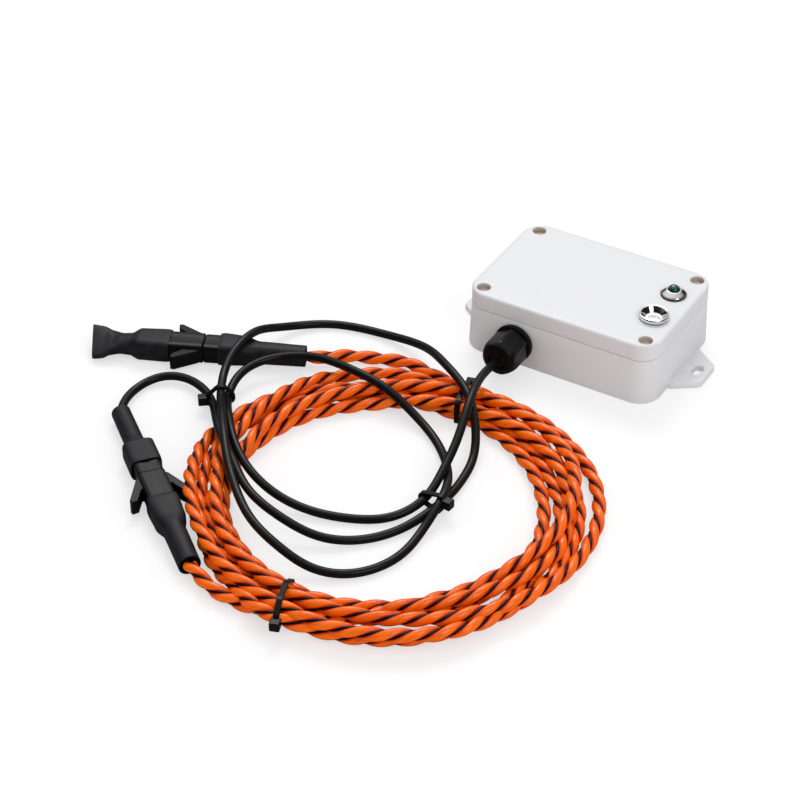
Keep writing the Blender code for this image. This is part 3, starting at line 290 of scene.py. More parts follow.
def soften(profile, reach, steps=3):
    """Replaces each inner corner of an open profile by a curve between points reach away.

    point(t) = (1-t)^2 A + 2t(1-t) B + t^2 C, with B the corner.
    """
    p = np.array(profile, float)
    corner = p[1:-1]
    a, c = (corner + way * np.minimum(reach / np.linalg.norm(way, axis=1, keepdims=True), 0.45)
            for way in (p[:-2] - corner, p[2:] - corner))
    t = np.linspace(0, 1, steps + 1)[None, :, None]
    curve = (1 - t) ** 2 * a[:, None] + 2 * t * (1 - t) * corner[:, None] + t ** 2 * c[:, None]
    return np.vstack([p[:1], curve.reshape(-1, 2), p[-1:]])


def placed(grid, move=(0, 0, 0), turn=None):
    """The grid turned by a 3 x 3 matrix and moved."""
    turned = grid if turn is None else grid @ np.array(turn).T
    return turned + np.array(move, float)


def heading(angle):
    """Matrix that turns local x to a direction in plan."""
    return ((math.cos(angle), -math.sin(angle), 0), (math.sin(angle), math.cos(angle), 0),
            (0, 0, 1))


OUT_OF_GLAND = ((1, 0, 0), (0, 0, -1), (0, 1, 0))


def linked(name, data):
    """A new object in the scene that holds the data."""
    made = bpy.data.objects.new(name, data)
    bpy.context.scene.collection.objects.link(made)
    return made


class Skin:
    """Collects grids of points and makes them one mesh, with a map of (around, along)."""

    def __init__(self):
        self.points = []
        self.faces = []
        self.maps = []
        self.count = 0

    def add(self, grid, rings=True, ends=True, loop=False):
        """Quads over a grid. rings closes each row, ends closes first and last row at a pole,
        loop joins the last row to the first."""
        rows, columns = grid.shape[:2]
        i = np.arange(rows if loop else rows - 1)[:, None]
        j = np.arange(columns if rings else columns - 1)[None, :]
        u = np.linspace(0, 1, columns + 1)
        v = run_along(grid[:, 0]) * MM
        v = np.r_[v, 2 * v[-1] - v[-2]]
        quads, maps = [], []
        for down, right in ((0, 0), (0, 1), (1, 1), (1, 0)):
            quads.append((i + down) % rows * columns + (j + right) % columns)
            maps.append(np.stack(np.broadcast_arrays(u[j + right], v[i + down]), -1))
        self.faces.append(np.stack(quads, -1).reshape(-1, 4) + self.count)
        self.maps.append(np.stack(maps, 2).reshape(-1, 4, 2))
        self.points.append(grid.reshape(-1, 3))
        self.count += rows * columns
        if rings and ends and not loop:
            for row in (0, rows - 1):
                middle = np.repeat(grid[row].mean(0)[None], columns, 0)
                pair = (middle, grid[row]) if row == 0 else (grid[row], middle)
                self.add(np.stack(pair), ends=False)
        return self

    def piece(self, name, finish, body="sensor", sharp=35.0, replaces=()):
        """The finished object: welded, faces outwards, riding on its CAD body."""
        mesh = bpy.data.meshes.new(name)
        points = np.concatenate(self.points) * MM
        faces = np.concatenate(self.faces)
        mesh.vertices.add(len(points))
        mesh.vertices.foreach_set("co", points.ravel())
        mesh.loops.add(faces.size)
        mesh.loops.foreach_set("vertex_index", faces.ravel())
        mesh.polygons.add(len(faces))
        mesh.polygons.foreach_set("loop_start", np.arange(0, faces.size, 4))
        mesh.update(calc_edges=True)
        layer = mesh.uv_layers.new(name="around_along")
        layer.data.foreach_set("uv", np.concatenate(self.maps).ravel())
        work = bmesh.new()
        work.from_mesh(mesh)
        bmesh.ops.remove_doubles(work, verts=work.verts, dist=WELD)
        bmesh.ops.dissolve_degenerate(work, edges=work.edges, dist=WELD / 2)
        bmesh.ops.recalc_face_normals(work, faces=work.faces)
        work.to_mesh(mesh)
        work.free()
        mesh.polygons.foreach_set("use_smooth", np.ones(len(mesh.polygons), bool))
        mesh.set_sharp_from_angle(angle=math.radians(sharp))
        mesh.materials.append(Shader.made[finish])
        obj = linked(name, mesh)
        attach(obj, body)
        if replaces:
            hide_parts(*replaces)
        return obj


# Shader expressions

class Value:
    """A number on a socket. Arithmetic on it adds Math nodes."""

    def __init__(self, tree, socket):
        self.tree = tree
        self.socket = socket

    def math(self, operation, *inputs):
        node = self.tree.node("ShaderNodeMath", {"operation": operation}, inputs)
        return Value(self.tree, node.outputs[0])

    def __add__(self, other):
        return self.math("ADD", self, other)

    __radd__ = __add__

    def __mul__(self, other):
        return self.math("MULTIPLY", self, other)

    def __sub__(self, other):
        return self.math("SUBTRACT", self, other)

    def __rsub__(self, other):
        return self.math("SUBTRACT", other, self)

    def __pow__(self, other):
        return self.math("POWER", self, other)

    def between(self, low, high):
        """0 below low, 1 above high, smooth between."""
        node = self.tree.node("ShaderNodeMapRange", {"interpolation_type": "SMOOTHSTEP"},
                              (self, low, high, 0.0, 1.0))
        return Value(self.tree, node.outputs[0])


class Tree:
    """The node tree of a material or a world, cleared and then built node by node."""

    def __init__(self, owner):
        owner.use_nodes = True
        self.nodes = owner.node_tree.nodes
        self.links = owner.node_tree.links
        self.nodes.clear()

    def node(self, kind, settings=None, inputs=()):
        """Adds a node, sets its settings first and then its sockets, by order or by name."""
        made = self.nodes.new(kind)
        for key, value in (settings or {}).items():
            setattr(made, key, value)
        pairs = inputs.items() if isinstance(inputs, dict) else enumerate(inputs)
        for key, value in pairs:
            if isinstance(value, Value):
                value = value.socket
            if isinstance(value, bpy.types.NodeSocket):
                self.links.new(value, made.inputs[key])
            else:
                made.inputs[key].default_value = value
        return made

    def place(self, kind="Object"):
        return self.node("ShaderNodeTexCoord").outputs[kind]

    def chart(self):
        return self.node("ShaderNodeUVMap", {"uv_map": "around_along"}).outputs[0]

    def parts(self, vector):
        made = self.node("ShaderNodeSeparateXYZ", {}, {0: vector})
        return [Value(self, socket) for socket in made.outputs]

    def stretched(self, vector, scale):
        return self.node("ShaderNodeMapping", {}, {0: vector, 3: scale}).outputs[0]

    def noise(self, vector, scale, detail=2.0):
        made = self.node("ShaderNodeTexNoise", {"noise_dimensions": "3D"},
                         {"Vector": vector, "Scale": scale, "Detail": detail, "Roughness": 0.5})
        return Value(self, made.outputs["Fac"])

    def mixed(self, factor, one, two):
        made = self.node("ShaderNodeMix", {"data_type": "RGBA"}, {0: factor, 6: one, 7: two})
        return made.outputs[2]

    def ramp(self, factor, *stops):
        """Colour that runs between two stops of (position, colour)."""
        made = self.node("ShaderNodeValToRGB", {}, {0: factor})
        for element, (position, colour) in zip(made.color_ramp.elements, stops):
            element.position = position
            element.color = rgba(colour)
        return made.outputs[0]

    def either(self, factor, one, two):
        """The output of shader one where factor is 0, and of shader two where it is 1."""
        return self.node("ShaderNodeMixShader", {}, {0: factor, 1: one.outputs[0],
                                                     2: two.outputs[0]}).outputs[0]

    def bump(self, height, strength, distance):
        made = self.node("ShaderNodeBump", {}, {"Strength": strength, "Distance": distance,
                                                "Height": height})
        return made.outputs[0]


class Shader(Tree):
    """One material. The CAD's plain materials hold the same names in Blender, so finished
    materials are looked up here."""
    made = {}

    def __init__(self, name):
        self.material = bpy.data.materials.new(name)
        Shader.made[name] = self.material
        super().__init__(self.material)

    def end(self, surface):
        self.node("ShaderNodeOutputMaterial", {}, {0: surface})

    def surface(self, **sockets):
        """Ends the tree in a Principled shader; names use _ for a space."""
        inputs = {name.replace("_", " "): value for name, value in sockets.items()}
        self.end(self.node("ShaderNodeBsdfPrincipled", {}, inputs).outputs[0])


def rgba(colour):
    return (*colour[:3], 1.0)


def shade(colour, factor):
    return (*[c * factor for c in colour[:3]], 1.0)


# Settings that a user would change

def colour_setting(name, description, default):
    return FloatVectorProperty(name=name, description=description, subtype="COLOR", size=3,
                               min=0, max=1, default=default)


def length_setting(name, description, default, low, high):
    return FloatProperty(name=name, description=description, unit="LENGTH", min=low, max=high,
                         default=default)


class LeakSensorFinishes(bpy.types.PropertyGroup):
    case: colour_setting("Case", "Colour of the white moulding", (0.74, 0.745, 0.76))
    nylon: colour_setting("Nylon", "Colour of gland, plugs and ties", (0.005, 0.005, 0.006))
    shrink: colour_setting("Shrink tube", "Colour of the shrink sleeves", (0.012, 0.012, 0.015))
    jacket: colour_setting("Lead jacket", "Colour of the lead", (0.005, 0.005, 0.006))
    rope: colour_setting("Sensing rope", "Colour of the rope's strands", (1.0, 0.165, 0.0))
    lens: colour_setting("Lens", "Colour of the lamp's dome", (0.0, 0.05, 0.025))


class LeakSensorSizes(bpy.types.PropertyGroup):
    strand_spread: length_setting("Strand spread", "Distance of a strand from the rope's middle",
                                  0.0015, 0.0005, 0.003)
    rope_step: length_setting("Rope step", "Spacing of the rope's cross sections",
                              0.0011, 0.0005, 0.004)
    lead_step: length_setting("Lead step", "Spacing of the lead's cross sections",
                              0.0016, 0.0005, 0.004)
    round_steps: IntProperty(name="Round steps", description="Sides of the turned pieces",
                             min=16, max=128, default=72)


class Worker:
    """Gives an operator its settings."""

    @property
    def finishes(self):
        return bpy.context.scene.leak_sensor_finishes

    @property
    def sizes(self):
        return bpy.context.scene.leak_sensor_sizes


# Finishes

class SENSOR_OT_finishes(Worker, bpy.types.Operator):
    """Makes every material and gives the CAD nodes that stay theirs"""
    bl_idname = "leak_sensor.finishes"
    bl_label = "Finishes"

    def execute(self, context):
        own = self.finishes
        for name, colour, roughness, grain, mottle, gloss, painted_shade in (
                ("case_white", own.case, 0.42, 0.05, 0.012, 0.5, None),
                # the lid's row gets painted shade down in its screw wells
                ("lid_white", own.case, 0.42, 0.05, 0.012, 0.5, self.screw_well_shade),
                ("nylon_black", own.nylon, 0.26, 0.1, 0.25, 0.17, None),
                ("rubber_black", (0.012, 0.012, 0.013), 0.6, 0.1, 0.2, 0.5, None),
                ("grey_moulding", (0.1, 0.1, 0.11), 0.5, 0.1, 0.1, 0.5, None),
                ("terminal_blue", (0.02, 0.1, 0.3), 0.45, 0.1, 0.1, 0.5, None),
                ("silicone", (0.4, 0.4, 0.42), 0.6, 0.05, 0.1, 0.5, None),
                ("cell_sleeve", (0.06, 0.09, 0.2), 0.3, 0.02, 0.1, 0.5, None),
                ("board_green", (0.01, 0.12, 0.04), 0.35, 0.05, 0.3, 0.5, None),
                ("rope_wire", (0.003, 0.003, 0.004), 0.3, 0.0, 0.2, 0.2, None)):
            self.moulded(name, colour, roughness, grain, mottle, gloss, painted_shade)
        self.shrink_tube(own.shrink)
        self.jacket(own.jacket)
        self.rope(own.rope)
        self.metal("chrome", (0.86, 0.86, 0.87), 0.06)
        self.metal("steel", (0.42, 0.41, 0.39), 0.32)
        self.lens(own.lens)
        self.give_nodes()
        return {"FINISHED"}

    def moulded(self, name, colour, roughness, grain, mottle, gloss, painted_shade):
        """Injection moulding: faint cloudiness, fine grain in gloss and relief, and painted
        shade where it is given."""
        s = Shader(name)
        place = s.place()
        cloud = s.noise(place, 60.0, 3.0)
        fine = s.noise(place, 2600.0)
        base = s.mixed(cloud.between(0.3, 0.7), shade(colour, 1 - mottle), rgba(colour))
        if painted_shade:
            base = painted_shade(s, place, base)
        s.surface(Base_Color=base, Roughness=roughness + (cloud - 0.5) * 0.08,
                  Normal=s.bump(fine, grain, FINE), IOR=1.48, Specular_IOR_Level=gloss)

    def screw_well_shade(self, s, place, base):
        """Painted shade: a beige tint down in the lid's four screw wells, where shade falls."""
        x, y, z = s.parts(place)
        dx = x.math("ABSOLUTE", x) - SCREW[0] * MM
        dy = y.math("ABSOLUTE", y) - SCREW[1] * MM
        out = (dx * dx + dy * dy) ** 0.5
        edge, top = RECESS[0] * MM, BOX[2] * MM
        inside = 1 - out.between(edge + 0.0001, edge + 0.0004)
        below = 1 - z.between(top - 0.001, top - 0.0002)
        return s.mixed(inside * below, base, (0.50, 0.42, 0.36, 1.0))

    def shrink_tube(self, colour):
        """Shrink tube: soft sheen, faint streaks along it and small dents."""
        s = Shader("shrink_black")
        place = s.place()
        wave = s.noise(place, 240.0)
        fine = s.noise(place, 3200.0)
        base = s.mixed(wave.between(0.3, 0.75), shade(colour, 0.75), shade(colour, 1.25))
        s.surface(Base_Color=base, Roughness=0.46 + (wave - 0.5) * 0.14,
                  Normal=s.bump(wave * 0.8 + fine * 0.2, 0.14, 0.0002), IOR=1.5,
                  Specular_IOR_Level=0.2)

    def jacket(self, colour):
        """Extruded jacket: satin, with long faint draw marks."""
        s = Shader("jacket_black")
        drawn = s.noise(s.stretched(s.chart(), (40.0, 30.0, 1.0)), 1.0, 3.0)
        fine = s.noise(s.place(), 3000.0)
        base = s.mixed(drawn, shade(colour, 0.8), shade(colour, 1.2))
        s.surface(Base_Color=base, Roughness=0.28 + (drawn - 0.5) * 0.1,
                  Normal=s.bump(fine, 0.05, FINE), IOR=1.5, Specular_IOR_Level=0.2)

    def rope(self, colour):
        """Glossy strand: drawn streaks round it, small changes of colour along it, and painted
        shade: a dark red side that faces the rope's middle, in its grooves."""
        s = Shader("rope_orange")
        drawn = s.noise(s.stretched(s.chart(), (9.0, 60.0, 1.0)), 1.0, 3.0)
        patch = s.noise(s.place(), 90.0)
        deep = (colour[0] * 0.86, colour[1] * 0.66, colour[2], 1.0)
        base = s.mixed((drawn * 0.6 + patch * 0.4).between(0.35, 0.62), deep, rgba(colour))
        # Painted shade: dark red on the side of each strand that turns into the rope's grooves
        turn = s.parts(s.chart())[0] * (2 * math.pi)
        outward = turn.math("COSINE", turn).between(-0.45, 0.6)
        base = s.mixed(outward, (0.62, 0.012, 0.0, 1.0), base)
        s.surface(Base_Color=base, Roughness=0.19 + (drawn - 0.5) * 0.1,
                  Normal=s.bump(drawn, 0.12, 0.00012), IOR=1.45, Specular_IOR_Level=0.5)

    def metal(self, name, colour, roughness):
        s = Shader(name)
        fine = s.noise(s.place(), 900.0)
        s.surface(Base_Color=s.mixed(fine, shade(colour, 0.94), rgba(colour)), Metallic=1.0,
                  Roughness=roughness + fine * 0.03)

    def lens(self, colour):
        s = Shader("lens_green")
        depth = s.noise(s.place(), 300.0, 1.0)
        s.surface(Base_Color=s.mixed(depth, shade(colour, 0.6), shade(colour, 1.3)),
                  Roughness=0.08 + depth * 0.04, IOR=1.55, Coat_Weight=0.5, Coat_Roughness=0.04)

    def give_nodes(self):
        """Materials of the CAD nodes: steel screws and nuts, the named ones, nylon elsewhere."""
        finish = {name: "steel" for name in NODES if "screw" in name or name.endswith("_nut")}
        for made, names in (
                ("case_white", ("base_housing", "lid")),
                ("silicone", ("lid_gasket", "radio_antenna")),
                ("rubber_black", ("led_gasket", "button_gasket", "gland_washer", "gland_seal")),
                ("chrome", ("led_bezel", "button_bezel", "button_cap")),
                ("lens_green", ("led_lens",)),
                ("steel", ("button_spring", "radio_module")),
                ("grey_moulding", ("button_switch_body", "battery_holder")),
                ("nylon_black", ("gland_cap_nut",)),
                ("jacket_black", ("lead_inner_jacket", "lead_core_2")),
                ("rope_orange", ("lead_core_1", "rope_coil", "rope_tail")),
                ("board_green", ("circuit_board",)),
                ("cell_sleeve", ("battery_1", "battery_2")),
                ("terminal_blue", ("terminal_block",))):
            finish.update(dict.fromkeys(names, made))
        for name, node in NODES.items():
            node.data.materials.clear()
            node.data.materials.append(Shader.made[finish.get(name, "nylon_black")])


# Enclosure

def lid_boundary():
    """A quarter of the lid's edge, from the middle of its right side round the corner to the
    middle of its back: points and outward normals."""
    far = (BOX[0] / 2, BOX[1] / 2)
    centre = np.array([far[0] - CORNER, far[1] - CORNER])
    a = np.radians(np.linspace(0, 90, 25))
    arc_n = np.stack([np.cos(a), np.sin(a)], -1)
    right = np.stack([np.full(13, far[0]), np.linspace(0, centre[1], 13)], -1)[:-1]
    back = np.stack([np.linspace(centre[0], 0, 17), np.full(17, far[1])], -1)[1:]
    edge = np.vstack([right, centre + CORNER * arc_n, back])
    normal = np.vstack([np.tile([1.0, 0.0], (12, 1)), arc_n, np.tile([0.0, 1.0], (16, 1))])
    return edge, normal


def lid_skin():
    """Lid: four mirrored quarters, each a fan from a screw recess to the edge, then the edge's
    round, the wall down to the parting line, its rim and the hollow inside."""
    edge, normal = lid_boundary()
    top = BOX[2]
    low = PARTING + PARTING_GAP
    a = np.radians(np.linspace(90, 0, 7))
    roll = [(LID_EDGE * (1 - math.cos(t)), top - LID_EDGE * (1 - math.sin(t))) for t in a]
    wall = [(0.0, low + 0.5), (0.0, low + 0.15), (0.15, low), (WALL, low), (WALL, top - WALL)]
    ring = np.stack([at_height(edge - inset * normal, z) for inset, z in roll + wall])
    flat = edge - LID_EDGE * normal
    near_y = np.stack([np.zeros(12), np.linspace(flat[-1, 1], 0, 13)[1:]], -1)
    near_x = np.stack([np.linspace(0, flat[0, 0], 17)[1:-1], np.zeros(15)], -1)
    screw = np.array(SCREW)
    out = np.vstack([flat, near_y, near_x]) - screw
    reach = np.linalg.norm(out, axis=1, keepdims=True)
    ray = out / reach
    r, depth = RECESS
    lip = r + 0.25
    fan = [(0.0, depth), (r, depth), (r, 0.3), (r + 0.08, 0.08), (lip, 0.0)]
    rows = [at_height(screw + k * ray, top - down) for k, down in fan]
    rows += [at_height(screw + (lip + share * (reach - lip)) * ray, top)
             for share in (0.05, 0.5, 1.0)]
    patch = np.stack(rows)
    inner = ring[-1]
    cap = np.stack([inner, inner * (0.0, 0.0, 1.0)])
    skin = Skin()
    for mirror in ((1, 1, 1), (-1, 1, 1), (1, -1, 1), (-1, -1, 1)):
        skin.add(patch * mirror, ends=False)
        skin.add(ring * mirror, rings=False)
        skin.add(cap * mirror, rings=False)
    return skin


def rounded_plan(steps=16):
    """Closed outline of the box at no inset, with its outward normals."""
    cx, cy = BOX[0] / 2 - CORNER, BOX[1] / 2 - CORNER
    points = []
    normals = []
    for sx, sy, start in ((1, 1, 0), (-1, 1, 90), (-1, -1, 180), (1, -1, 270)):
        a = np.radians(start + np.linspace(0, 90, steps + 1))
        n = np.stack([np.cos(a), np.sin(a)], -1)
        points.append(np.array([sx * cx, sy * cy]) + CORNER * n)
        normals.append(n)
    return np.vstack(points), np.vstack(normals)


def base_skin():
    """Base: the plan outline grown by its draft from the parting line to the floor, with a
    rounded rim and foot, hollow inside."""
    plan, normal = rounded_plan()
    top = PARTING - PARTING_GAP
    stations = [(WALL, WALL), (WALL, top), (0.3, top), (0.1, top - 0.1), (0.0, top - 0.3)]
    stations += [(-DRAFT * (1 - z / PARTING), z) for z in (15.0, 8.0, 1.2)]
    stations += [(-DRAFT + 0.12, 0.35), (-DRAFT + 0.4, 0.08), (-DRAFT + 0.8, 0.0)]
    return Skin().add(np.stack([at_height(plan - inset * normal, z) for inset, z in stations]))


def ear_skin(side):
    """Ear: a ring of cross sections round its slot, from the slot's wall over the rounded top
    edge to the outside and back underneath."""
    tip_x, tip_y = EAR_TIP
    corner = 2.5
    start = BOX[0] / 2 - 1.0
    root = [(start, EAR_ROOT - 1), (start, EAR_ROOT), (start + 3.0, EAR_ROOT),
            (start + 3.4, EAR_ROOT - 0.15)]
    points = [(start, 0.0)] + [(x, -y) for x, y in root]
    for cy, first in ((-(tip_y - corner), -60.0), (tip_y - corner, 0.0)):
        points += [(tip_x - corner + corner * math.cos(a), cy + corner * math.sin(a))
                   for a in np.radians(np.linspace(first, first + 60.0, 9))]
    closed = np.array(points + root[::-1] + points[:1])
    d = run_along(closed)
    outer = sampled(closed, np.sort(np.r_[np.linspace(0, d[-1], 97)[:-1], d[1:-1]]))
    x, half, long = SLOT
    ray = unit(outer - (x, 0.0))
    straight = long - half
    flat_reach = half / np.maximum(np.abs(ray[:, 0]), 1e-6)
    b = np.abs(ray[:, 1]) * straight
    round_reach = b + np.sqrt(np.maximum(b * b - straight ** 2 + half ** 2, 0))
    reach = np.where(flat_reach * np.abs(ray[:, 1]) <= straight, flat_reach, round_reach)
    inner = np.array([x, 0.0]) + reach[:, None] * ray
    span = np.linalg.norm(outer - inner, axis=1, keepdims=True)
    high = EAR_HEIGHT
    outside = -1e-6
    stations = ((0.0, 0.0), (0.0, high - 0.25), (0.08, high - 0.08), (0.25, high),
                (-0.8, high), (-0.35, high - 0.12), (-0.1, high - 0.4), (outside, high - 0.9),
                (outside, 0.3), (-0.25, 0.0))
    rows = []
    for reach_in, z in stations:
        t = reach_in / span if reach_in >= 0 else 1 + reach_in / span
        rows.append(at_height(inner + t * (outer - inner), z))
    return Skin().add(np.stack(rows) * (side, 1, 1), loop=True)


class SENSOR_OT_enclosure(Worker, bpy.types.Operator):
    """Moulds the lid with its screw recesses, the base and the two ears"""
    bl_idname = "leak_sensor.enclosure"
    bl_label = "Enclosure"

    def execute(self, context):
        lid_skin().piece("lid_moulding", "lid_white", replaces=["lid"], sharp=28)
        base_skin().piece("base_moulding", "case_white", replaces=["base_housing"], sharp=28)
        for side, name in ((1, "right"), (-1, "left")):
            ear_skin(side).piece(f"ear_{name}", "case_white", sharp=28)
        return {"FINISHED"}


# Lamp and push button

def turned_piece(name, finish, node, profile, reach, spot, steps, ring=True, **options):
    """A turned profile about an upright axis; a ring's profile closes on itself."""
    grid = turned_grid(soften(profile, reach), steps)
    Skin().add(placed(grid, spot), loop=ring).piece(name, finish, replaces=[node], **options)


class SENSOR_OT_lamp(Worker, bpy.types.Operator):
    """Turns the lamp's gasket, its conical chrome bezel and the green dome"""
    bl_idname = "leak_sensor.lamp"
    bl_label = "Lamp"

    def execute(self, context):
        spot, steps = (*LAMP, BOX[2]), self.sizes.round_steps
        turned_piece("lamp_gasket", "rubber_black", "led_gasket",
                     [(4.2, 0.05), (5.9, 0.05), (5.9, 0.75), (4.2, 0.75)], 0.12, spot, steps)
        turned_piece("lamp_bezel", "chrome", "led_bezel",
                     [(2.95, -8), (4, -8), (4, 0.7), (5.6, 0.7), (5.65, 1.1), (5.0, 1.65),
                      (3.6, 2.8), (3.4, 2.95), (2.95, 2.95)], 0.12, spot, steps)
        radius, rise = DOME
        dome = [(0, -10.5), (radius, -10.5), (radius, rise)]
        dome += [(radius * math.cos(a), rise + rise * math.sin(a))
                 for a in np.radians(np.linspace(7.5, 90, 12))]
        grid = turned_grid(dome, steps)
        Skin().add(placed(grid, spot)).piece("lamp_lens", "lens_green", replaces=["led_lens"])
        return {"FINISHED"}


class SENSOR_OT_push_button(Worker, bpy.types.Operator):
    """Turns the button's ring, its mirror-bright bowl and the cap that presses in"""
    bl_idname = "leak_sensor.push_button"
    bl_label = "Push button"

    def execute(self, context):
        spot, steps = (*BUTTON, BOX[2]), self.sizes.round_steps
        turned_piece("button_seal", "rubber_black", "button_gasket",
                     [(6.2, 0.05), (6.3, 0.05), (6.3, 0.6), (6.2, 0.6)], 0.02, spot, steps)
        turned_piece("button_ring", "chrome", "button_bezel",
                     [(4.8, -8), (6, -8), (6, 0.6), (6.7, 0.6), (6.7, 1.9), (6.4, 2.4),
                      (5.95, 2.4), (5.6, 2.1), (3.55, -0.1), (3.4, -0.4), (3.4, -0.7),
                      (4.8, -1.6)], 0.2, spot, steps)
        turned_piece("button_head", "chrome", "button_cap",
                     [(0, -4.6), (2, -4.6), (2, -3), (3.2, -3), (3.2, -0.05), (3.05, 0.1),
                      (2.2, 0.16), (2.05, 0.04), (1.9, 0.17), (0, 0.2)], 0.1, spot, steps,
                     ring=False, body="button")
        self.return_spring(spot)
        return {"FINISHED"}

    def return_spring(self, spot):
        """Coil under the head: point(t) = (r cos t, r sin t, low + rise t / 2 pi turns)."""
        turns, radius, wire, low, high = 5.5, 2.95, 0.22, -7.0, -3.35
        t = np.linspace(0, 2 * math.pi * turns, 160)
        line = np.stack([radius * np.cos(t), radius * np.sin(t),
                         low + wire + (high - low - 2 * wire) * t / t[-1]], -1)
        spring = Skin().add(placed(tube_grid(line, wire, 8), spot)).piece(
            "return_spring", "steel", replaces=["button_spring"], sharp=80)
        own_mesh(spring)


# Gland

def in_gland_hexagon(r, a, blend=0.25):
    """The soft lower of the radius r and the hexagon's reach, (w/2) / cos(a to the nearest
    flat); r itself well inside the flats."""
    half = GLAND_FLATS / 2
    flat = half / np.cos((a + math.pi / 6) % (math.pi / 3) - math.pi / 6)
    soft = 0.5 * (r + flat - np.sqrt((r - flat) ** 2 + blend ** 2)) + 0.5 * blend * 0.3
    return np.where(r < half - 1.2, r, np.minimum(soft, r))


class SENSOR_OT_gland(Worker, bpy.types.Operator):
    """Turns the gland's washer and round flange, its hexagon nut with a dome, and the seal"""
    bl_idname = "leak_sensor.gland"
    bl_label = "Cable gland"

    def execute(self, context):
        def make(name, finish, node, profile, reach=0.0, held=None):
            grid = turned_grid(soften(profile, reach) if reach else profile, 96, held)
            Skin().add(placed(grid, (GLAND[0], 0, GLAND[1]), OUT_OF_GLAND)).piece(
                name, finish, replaces=[node], sharp=32)

        back, face = GLAND_BACK, GLAND_FACE
        make("gland_seat_ring", "rubber_black", "gland_washer",
             [(6.3, 33.9), (8.8, 33.9), (8.8, 34.7), (6.3, 34.7)], 0.15)
        make("gland_flange", "nylon_black", "gland_body",
             [(2.4, 26.0), (6, 26.0), (6, back - 0.1), (9.2, back - 0.1), (9.2, back + 1.2),
              (8.4, back + 1.75), (5.9, back + 1.8), (5.9, face - 6.3), (2.4, face - 6.3)], 0.2)
        dome = [(6.2, back + 2.0), (8.2, back + 2.0), (8.9, back + 2.6), (8.9, face - 5.6)]
        dome += [(4.4 + 4.5 * math.cos(t) ** 0.75, face - 5.6 + 5.4 * math.sin(t))
                 for t in np.radians(np.linspace(8, 88, 14))]
        dome += [(4.2, face - 0.12), (4.0, face - 0.4), (3.95, face - 3.0), (2.4, face - 3.0)]
        make("gland_nut", "nylon_black", "gland_cap_nut", dome, held=in_gland_hexagon)
        make("gland_seal_lip", "rubber_black", "gland_seal",
             [(2.15, face - 6.0), (3.7, face - 6.0), (3.7, face - 1.6), (3.5, face - 0.9),
              (3.1, face - 0.6), (2.5, face - 0.7), (2.15, face - 1.1)], 0.2)
        return {"FINISHED"}


# Cords

def lead_path(step):
    """Line of the lead, nowhere lower than where it lies on the floor."""
    path = settled(spline(LEAD_ROUTE, step), LEAD_EASE)
    path[:, 2] = np.maximum(path[:, 2], LEAD_DIAMETER / 2)
    return path


class SENSOR_OT_lead(Worker, bpy.types.Operator):
    """Sweeps the round lead along its route from the gland to the first plug"""
    bl_idname = "leak_sensor.lead"
    bl_label = "Lead"

    def execute(self, context):
        path = lead_path(self.sizes.lead_step / MM)
        lead = Skin().add(tube_grid(path, LEAD_DIAMETER / 2, 20)).piece(
            "lead_jacket", "jacket_black", replaces=["sensor_lead"], sharp=60)
        return {"FINISHED"}


def rope_path(step):
    """Line of the rope: its turns in plan about the coil's centre, then the tail."""
    a, r, z = np.array([(*point, ROPE_REST)[:3] for point in ROPE_TURNS], float).T
    turns = np.stack([COIL_CENTRE[0] + r * np.cos(np.radians(a)),
                      COIL_CENTRE[1] + r * np.sin(np.radians(a)), z], -1)
    return spline(np.vstack([turns, ROPE_TAIL]), step)


def strand_grid(path, phase, spread, section, sides):
    """Oval strand about path(s) + spread (cos p side + sin p up), p = phase - 2 pi s / pitch.
    Its section's first half axis points away from the rope's middle and turns with p."""
    side, up = side_and_up(path)
    p = (phase - 2 * math.pi * run_along(path) / ROPE_PITCH)[:, None]
    outward = np.cos(p) * side + np.sin(p) * up
    middle = path + spread * outward
    across = np.cross(unit(np.gradient(middle, axis=0)), outward)
    a = round_angles(sides)[None, :, None]
    return (middle[:, None] + section[0] * np.cos(a) * outward[:, None]
            + section[1] * np.sin(a) * across[:, None])


class SENSOR_OT_rope(Worker, bpy.types.Operator):
    """Lays the sensing rope: two twisted strands with a thin wire in each groove"""
    bl_idname = "leak_sensor.rope"
    bl_label = "Sensing rope"

    def execute(self, context):
        path = rope_path(self.sizes.rope_step / MM)
        spread = self.sizes.strand_spread / MM
        strands, wires = Skin(), Skin()
        for phase in (0.0, math.pi):
            strands.add(strand_grid(path, phase, spread, STRAND, 16))
        for phase in (math.pi / 2, -math.pi / 2):
            wires.add(strand_grid(path, phase, WIRE_SPREAD, WIRE, 8))
        rope = strands.piece("rope_strands", "rope_orange", replaces=["rope_coil", "rope_tail"],
                             sharp=80)
        wires.piece("rope_wires", "rope_wire", sharp=80)
        path[0] * MM
        path * MM
        return {"FINISHED"}


# Cable ties

def hull(points):
    """Convex outline of points in a plane, anticlockwise, as a lower and an upper chain."""
    def chain(order):
        kept = []
        for p in order:
            while len(kept) > 1:
                (ax, ay), (bx, by) = kept[-2:]
                if (bx - ax) * (p[1] - ay) - (by - ay) * (p[0] - ax) > 0:
                    break
                kept.pop()
            kept.append(p)
        return kept[:-1]

    order = sorted(map(tuple, points))
    return np.array(chain(order) + chain(order[::-1]))


def crossings(path, spot, angle, reach):
    """Where a path crosses the upright plane through spot along angle: (across, height)."""
    way = np.array([math.cos(angle), math.sin(angle), 0.0])
    normal = np.array([-math.sin(angle), math.cos(angle), 0.0])
    offset = path - np.array([*spot, 0.0])
    s = offset @ normal
    i = np.flatnonzero((s[:-1] < 0) != (s[1:] < 0))
    here = offset[i] + (offset[i + 1] - offset[i]) * (s[i] / (s[i] - s[i + 1]))[:, None]
    flat = np.stack([here @ way, here[:, 2]], -1)
    return flat[np.abs(flat[:, 0]) < reach]


